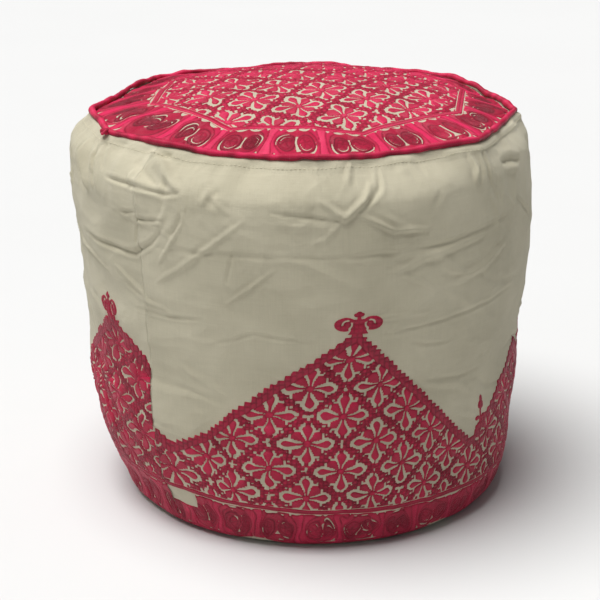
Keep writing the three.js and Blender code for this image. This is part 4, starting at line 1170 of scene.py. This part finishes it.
def make_ornaments():
    for stem, kind in FINIALS.items():
        half, tall = kind["half"], kind["tall"]
        columns, rows = int(2 * half / FINIAL_GRID), int((tall + 6) / FINIAL_GRID)
        x, y = np.meshgrid(np.linspace(-half, half, columns), np.linspace(-6, tall, rows), indexing="ij")
        pattern = {"cut": kind["field"](x, y), "seam": square_field(x, y, 4) + 0.25,
                   "tone": np.full(x.shape, 0.40), "lay": (x + y) * 0.7}
        for k, (angle, place) in enumerate(kind["places"], 1):
            name = f"{stem}_finial_{k}"
            slim, lean = 1.0, kind["lean"]
            if name == SLIM_FINIAL["name"]:
                slim, lean = SLIM_FINIAL["slim"], SLIM_FINIAL["lean"]
            around = angle + (slim * x + lean * y) / MM_PER_DEGREE
            sew_on_side(name, pattern, around, place - kind["sink"] + y, [f"{stem}_ornament_{k}"])


# ---- embroidery on the top ----
TOP_GRID = 0.9
TOP_AXIS_A = (31.5, 13.5)        # half diagonals of a diamond on the top
TOP_AXIS_B = (-9.5, 35.5)
TOP_ORIGIN = (-9.0, -86.0)


def top_weave(x, y):
    return np.stack([x, y, x * 0], -1)


def sew_on_top(name, pattern, x, y, replaces):
    sew(name, pattern, x, y, on_top, top_weave, replaces)


def make_top_embroidery():
    reach = 214.0
    count = int(2 * reach / TOP_GRID)
    x, y = np.meshgrid(np.linspace(-reach, reach, count), np.linspace(-reach, reach, count), indexing="ij")
    angle, radius = np.degrees(np.arctan2(x, -y)), np.hypot(x, y)
    octagon = octagon_radius(angle)
    cord_inner = edge_radius(angle) - CORD_INSET - CORD_RADIUS - 0.7
    (ax, ay), (bx, by) = TOP_AXIS_A, TOP_AXIS_B
    area = ax * by - ay * bx
    dx, dy = x - TOP_ORIGIN[0], y - TOP_ORIGIN[1]
    p, q = (dx * by - dy * bx) / area, (ax * dy - ay * dx) / area
    p = p + 0.04 * flat_noise(67, x, y, 30)
    q = q + 0.04 * flat_noise(68, x, y, 30)
    field = rosette(p, q)
    rim = octagon - LINE_HALF - 0.5 - radius
    field["cut"] = np.minimum(field["cut"], rim)
    # Painted light: the top's lattice is lighter than the side's same pattern, as the top is lit from
    # overhead.
    field["tone"] = field["tone"] + 0.22
    sew_on_top("top_lattice", field, x, y, ["top_field_embroidery"])

    away = radius - octagon
    # Painted light: lighter tones than the side's double line, as the top is lit from overhead.
    line = {"cut": LINE_HALF - np.abs(away), "seam": np.abs(away), "tone": np.where(away > 0, 0.75, 0.6),
            "lay": angle * 2.7}
    sew_on_top("top_double_line", line, x, y, ["top_inner_line"])

    inner = octagon + LINE_HALF + 0.5
    width = cord_inner - inner
    period = TOP_FLOWER["period"]
    warp = (1.6 + 3.0 * fade(-angle, 5, 60)) * flat_noise(66, x, y, 34)
    along = (angle - TOP_FIRST_FLOWER) / TOP_PERIOD_DEGREES * period
    # Full tones, lighter than the side border's: painted light on the overhead-lit top.
    band = flower_band(along + warp, radius - inner + 0.5 * warp, width, period, TOP_FLOWER)
    band["cut"] = np.minimum(band["cut"], np.minimum(radius - inner, inner + width - radius))
    sew_on_top("top_flower_border", band, x, y, ["top_border_embroidery"])


# ---- base and zip ----
def base_points(side, x, y):
    """Height of the base cloth's underside over a place on it."""
    closing = 1 - np.clip((np.abs(x) - CHANNEL_HALF) / (CHANNEL_END - CHANNEL_HALF), 0, 1)
    slope = 1 - np.clip((y - 20) / 6, 0, 1)
    return np.stack([x, side * y, CHANNEL_RISE * closing * slope], -1)


def make_base_panels():
    columns, rows = 260, 90
    for tag, side in (("front", -1), ("rear", 1)):
        reach = BASE_RADIUS - 0.15
        x = np.sin(np.linspace(-np.pi / 2, np.pi / 2, columns)) * reach
        closing = 1 - np.clip((np.abs(x) - CHANNEL_HALF) / (CHANNEL_END - CHANNEL_HALF), 0, 1)
        inner = 0.2 + (CHANNEL_EDGE - 0.2) * closing
        outer = np.sqrt(BASE_RADIUS**2 - x**2)
        share = np.linspace(0, 1, rows) ** 1.25
        y = inner[:, None] + (outer - inner)[:, None] * share[None, :]
        grid_x = np.broadcast_to(x[:, None], y.shape)
        under = base_points(side, grid_x, y)
        u = grid_x / 400 + 0.5
        ripple = 0.35 * np.abs(soft_noise(71, u, y / 170, 30, 12))
        ripple += 0.2 * np.abs(soft_noise(72, u, y / 170, 80, 40))
        stitched_dip = 0.35 * np.exp(-((y - 12.5) / 1.0) ** 2) + 0.35 * np.exp(-((y - 23) / 1.2) ** 2)
        settle = fade(outer[:, None] - y, 0, 6)
        under[..., 2] += (ripple + stitched_dip) * settle + 0.05
        above = under.copy()
        above[..., 2] = base_points(side, grid_x, y)[..., 2] + BASE_CLOTH - 0.3
        make_slab(f"base_cover_{tag}", above, under, top_weave(grid_x, y * side), COTTON,
                  [f"base_panel_{tag}"], flip=side > 0)


def make_zip_tapes():
    for tag in ("front", "rear"):
        low, high = (np.array(v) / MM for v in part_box(f"zip_tape_{tag}"))
        columns, rows = 420, 22
        x, y = np.meshgrid(np.linspace(low[0], high[0], columns), np.linspace(low[1], high[1], rows),
                           indexing="ij")
        rib = 0.10 * np.exp(-((np.abs(y) - 5.2) / 0.5) ** 2) + 0.05 * np.sin(x * 2.1) * np.sin(y * 2.6)
        top = np.stack([x, y, high[2] - 0.08 + rib * 0.5], -1)
        under = np.stack([x, y, low[2] + 0.08 - rib * 0.5], -1)
        weave = top_weave(x, y)
        make_slab(f"zip_tape_woven_{tag}", top, under, weave, TAPE, [f"zip_tape_{tag}"])


def make_zip_teeth():
    """A continuous nylon coil on each tape: one loop of monofilament per tooth."""
    pitch = 1.9
    for tag, side, shift in (("front", -1, 0.0), ("rear", 1, 0.5)):
        low, high = (np.array(v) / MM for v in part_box(f"zip_teeth_{tag}"))
        loops = int((high[0] - low[0] - 1.2) / pitch) - 1
        steps = loops * 12
        t = np.arange(steps) / 12
        wire = 0.36
        middle_y = side * (abs(low[1]) + abs(high[1])) / 2
        half_y = (high[1] - low[1]) / 2 - wire
        half_z = (high[2] - low[2]) / 2 - wire
        turn = 2 * np.pi * t
        squared = np.sign(np.cos(turn)) * np.abs(np.cos(turn)) ** 0.55
        path = np.stack([low[0] + 0.6 + (t + shift) * pitch, middle_y - side * half_y * squared,
                         ZIP_Z + half_z * np.sin(turn)], -1)
        points, faces = tube(path, wire, 7, up=(1, 0, 0))
        make_piece(f"zip_coil_{tag}", points, faces, TEETH, [f"zip_teeth_{tag}"])


def finish_metal_parts():
    """The metal nodes keep their CAD shape; their edges are rounded and they get the nickel finish."""
    for name in ("zip_slider", "zip_puller", "zip_top_stop_front", "zip_top_stop_rear", "zip_bottom_stop"):
        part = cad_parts[name]
        part.data.materials.clear()
        part.data.materials.append(METAL)
        bevel = part.modifiers.new("rounded_edges", "BEVEL")
        bevel.width = 0.22 * MM
        bevel.segments = 3
        bevel.limit_method = "ANGLE"
        bevel.angle_limit = math.radians(40)


# ---- inner bag and stuffing ----
def make_inner_bag():
    places = np.linspace(52, 356, 120)
    angles = np.arange(240) * 1.5
    a, p = np.meshgrid(angles, places, indexing="ij")
    u, v = a / 360, (p - 52) / 304
    body = side_body(a, p)
    normal = normals_of(body)
    puckers = 0.5 * soft_noise(81, u, v, 40, 20) + 0.3 * soft_noise(82, u, v, 120, 50)
    outer = body - normal * (5.6 + np.abs(puckers))[..., None]
    inner = body - normal * (6.6 + np.abs(puckers))[..., None]
    side = make_slab("inner_bag_wall", outer, inner, top_weave(a * 3.6, p), LINING, ["inner_bag_side"],
                     ring=True)


def round_cushion(name, node_name, radius_at, low_at, high_at, material, seed, rough):
    """A closed round piece between two heights, with a softly rounded rim and an uneven surface."""
    columns, rings = 200, 60
    angles = np.arange(columns) * 360 / columns
    shares = np.linspace(1 / rings, 1, rings)
    a, s = np.meshgrid(angles, shares, indexing="ij")
    layers = []
    for level, way in ((high_at, 1), (low_at, -1)):
        radius = s * radius_at(a)
        x, y = radius * np.sin(np.radians(a)), -radius * np.cos(np.radians(a))
        lumps = rough * np.abs(soft_noise(seed, x / 500 + 0.5, y / 500 + 0.5, 30, 30))
        z = level(s) - way * lumps
        centre = np.array([[0, 0, level(np.zeros(1))[0]]])
        layers.append(np.concatenate([centre, np.stack([x, y, z], -1).reshape(-1, 3)]))
    points = np.concatenate(layers)
    piece = make_piece(name, points, disc_faces(columns, rings), material, [node_name], points)


def rim_round(s, depth):
    return depth * (1 - np.sqrt(np.clip(1 - s**8, 0, 1)))


def dome(share, reach, drop):
    """Height of a layer that lies under the crowned top, for shares of the layer's own reach."""
    return EDGE_HEIGHT - 1 + CROWN * (1 - (share * reach) ** 2.2) - drop


BAG_BASE_RADIUS = 181.0
BAG_CLOTH = 1.2


def make_bag_ends_and_wadding():
    bag_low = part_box("inner_bag_base")[0].z / MM
    pad_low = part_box("wadding_pad")[0].z / MM

    def top_reach(share):
        return lambda angle: share * (edge_radius(angle) - TOP_RIM) - 0.5

    round_cushion("inner_bag_base_cloth", "inner_bag_base", lambda a: a * 0 + BAG_BASE_RADIUS,
                  lambda s: bag_low + s * 0, lambda s: bag_low + BAG_CLOTH + s * 0, LINING,
                  83, 0.0)
    round_cushion("inner_bag_top_cloth", "inner_bag_top", top_reach(0.95), lambda s: dome(s, 0.95, 4.7),
                  lambda s: dome(s, 0.95, 3.6), LINING, 84, 0.25)
    round_cushion("wadding_layer", "wadding_pad", top_reach(0.92),
                  lambda s: pad_low + 0.3 + rim_round(s, 3), lambda s: dome(s, 0.92, 5.6) - rim_round(s, 4),
                  FIBRE, 85, 1.2)


def make_stuffing():
    core_low, core_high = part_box("filling_core")
    columns, rows = 200, 120
    angles = np.arange(columns) * 360 / columns
    heights = np.linspace(core_low.z / MM + 0.3, core_high.z / MM - 0.3, rows)
    a, z = np.meshgrid(angles, heights, indexing="ij")
    share = (z - heights[0]) / (heights[-1] - heights[0])
    body = np.linalg.norm(side_body(a, z)[..., :2], axis=-1) - 12
    ends = np.minimum(share, 1 - share)
    radius = np.minimum(body, 224 - 12) * (0.84 + 0.16 * np.clip(ends / 0.1, 0, 1) ** 0.4)
    radius = np.minimum(radius, 176 + 42 * np.clip(ends / 0.12, 0, 1) ** 0.5)
    radius = radius - 2.5 * np.abs(soft_noise(86, a / 360, share, 26, 14)) - 1
    points = polar(a, radius, z)
    grid = points.reshape(-1, 3)
    caps = np.array([[0, 0, heights[0]], [0, 0, heights[-1]]])
    i = np.arange(columns)
    k = (i + 1) % columns
    low = np.stack([np.full(columns, len(grid)), k * rows, i * rows], -1)
    top = np.stack([np.full(columns, len(grid) + 1), i * rows + rows - 1, k * rows + rows - 1], -1)
    all_points = np.concatenate([grid, caps])
    faces = [grid_quads(columns, rows, True), np.concatenate([low, top])]
    core = make_piece("stuffing", all_points, faces, FIBRE, ["filling_core"], all_points)


# ---- stage, lights and camera ----
FLOOR_HALF = 12.0                # metres, as everything in this section
FLOOR_DROP = 0.0002
SURROUND_LIGHT = 0.165
BACKDROP_LIGHT = 0.9
# Wide soft lights: name, direction they come from, strength, spread in degrees.
SUNS = (("overhead", (-0.38, -0.12, 1.6), 4.25, 40), ("from_the_left", (-1.4, -1.2, 1.0), 0.12, 25))
CAMERA = {"place": (-0.0067, -1.8, 0.8387), "down": 20.073, "roll": 0.10, "lens": 114.56, "sensor": 36}


def make_floor():
    corners = [(x * FLOOR_HALF, y * FLOOR_HALF, 0) for x, y in ((-1, -1), (1, -1), (1, 1), (-1, 1))]
    floor = bpy.data.meshes.new("floor")
    floor.from_pydata(corners, [], [(0, 1, 2, 3)])
    floor.materials.append(FLOOR)
    stage = bpy.data.objects.new("floor", floor)
    stage.location.z = -FLOOR_DROP
    bpy.context.scene.collection.objects.link(stage)


def make_surround():
    """A pale surround: bright to the camera and dimmer as a light."""
    world = bpy.context.scene.world or bpy.data.worlds.new("studio")
    bpy.context.scene.world = world
    world.use_nodes = True
    nodes, links = world.node_tree.nodes, world.node_tree.links
    surround = nodes["Background"]
    surround.inputs["Color"].default_value = (1.0, 1.0, 1.0, 1)
    surround.inputs["Strength"].default_value = SURROUND_LIGHT
    backdrop = nodes.new("ShaderNodeBackground")
    backdrop.inputs["Strength"].default_value = BACKDROP_LIGHT
    chosen = nodes.new("ShaderNodeMixShader")
    links.new(nodes.new("ShaderNodeLightPath").outputs["Is Camera Ray"], chosen.inputs[0])
    links.new(surround.outputs[0], chosen.inputs[1])
    links.new(backdrop.outputs[0], chosen.inputs[2])
    links.new(chosen.outputs[0], nodes["World Output"].inputs["Surface"])


def make_sun(name, place, strength, spread):
    """A light from far off, shining from place towards the origin."""
    light = bpy.data.lights.new(name, "SUN")
    light.energy = strength
    light.angle = math.radians(spread)
    lamp = bpy.data.objects.new(name, light)
    lamp.rotation_euler = (-Vector(place)).to_track_quat("-Z", "Y").to_euler()
    bpy.context.scene.collection.objects.link(lamp)


def make_camera():
    data = bpy.data.cameras.new("camera")
    data.sensor_width = CAMERA["sensor"]
    data.lens = CAMERA["lens"]
    camera = bpy.data.objects.new("camera", data)
    camera.location = CAMERA["place"]
    camera.rotation_euler = (math.radians(90 - CAMERA["down"]), math.radians(CAMERA["roll"]), 0)
    bpy.context.scene.collection.objects.link(camera)
    bpy.context.scene.camera = camera


make_camera()
make_floor()
make_surround()
for sun in SUNS:
    make_sun(*sun)
bpy.context.scene.view_settings.view_transform = "Standard"

make_side_panels()
make_seam_allowances()
make_top_panel()
make_edge_cord()
make_knot()
make_topstitching()
make_lattices()
make_border_lines()
make_side_borders()
make_ornaments()
make_top_embroidery()
make_base_panels()
make_zip_tapes()
make_zip_teeth()
finish_metal_parts()
make_inner_bag()
make_bag_ends_and_wadding()
make_stuffing()
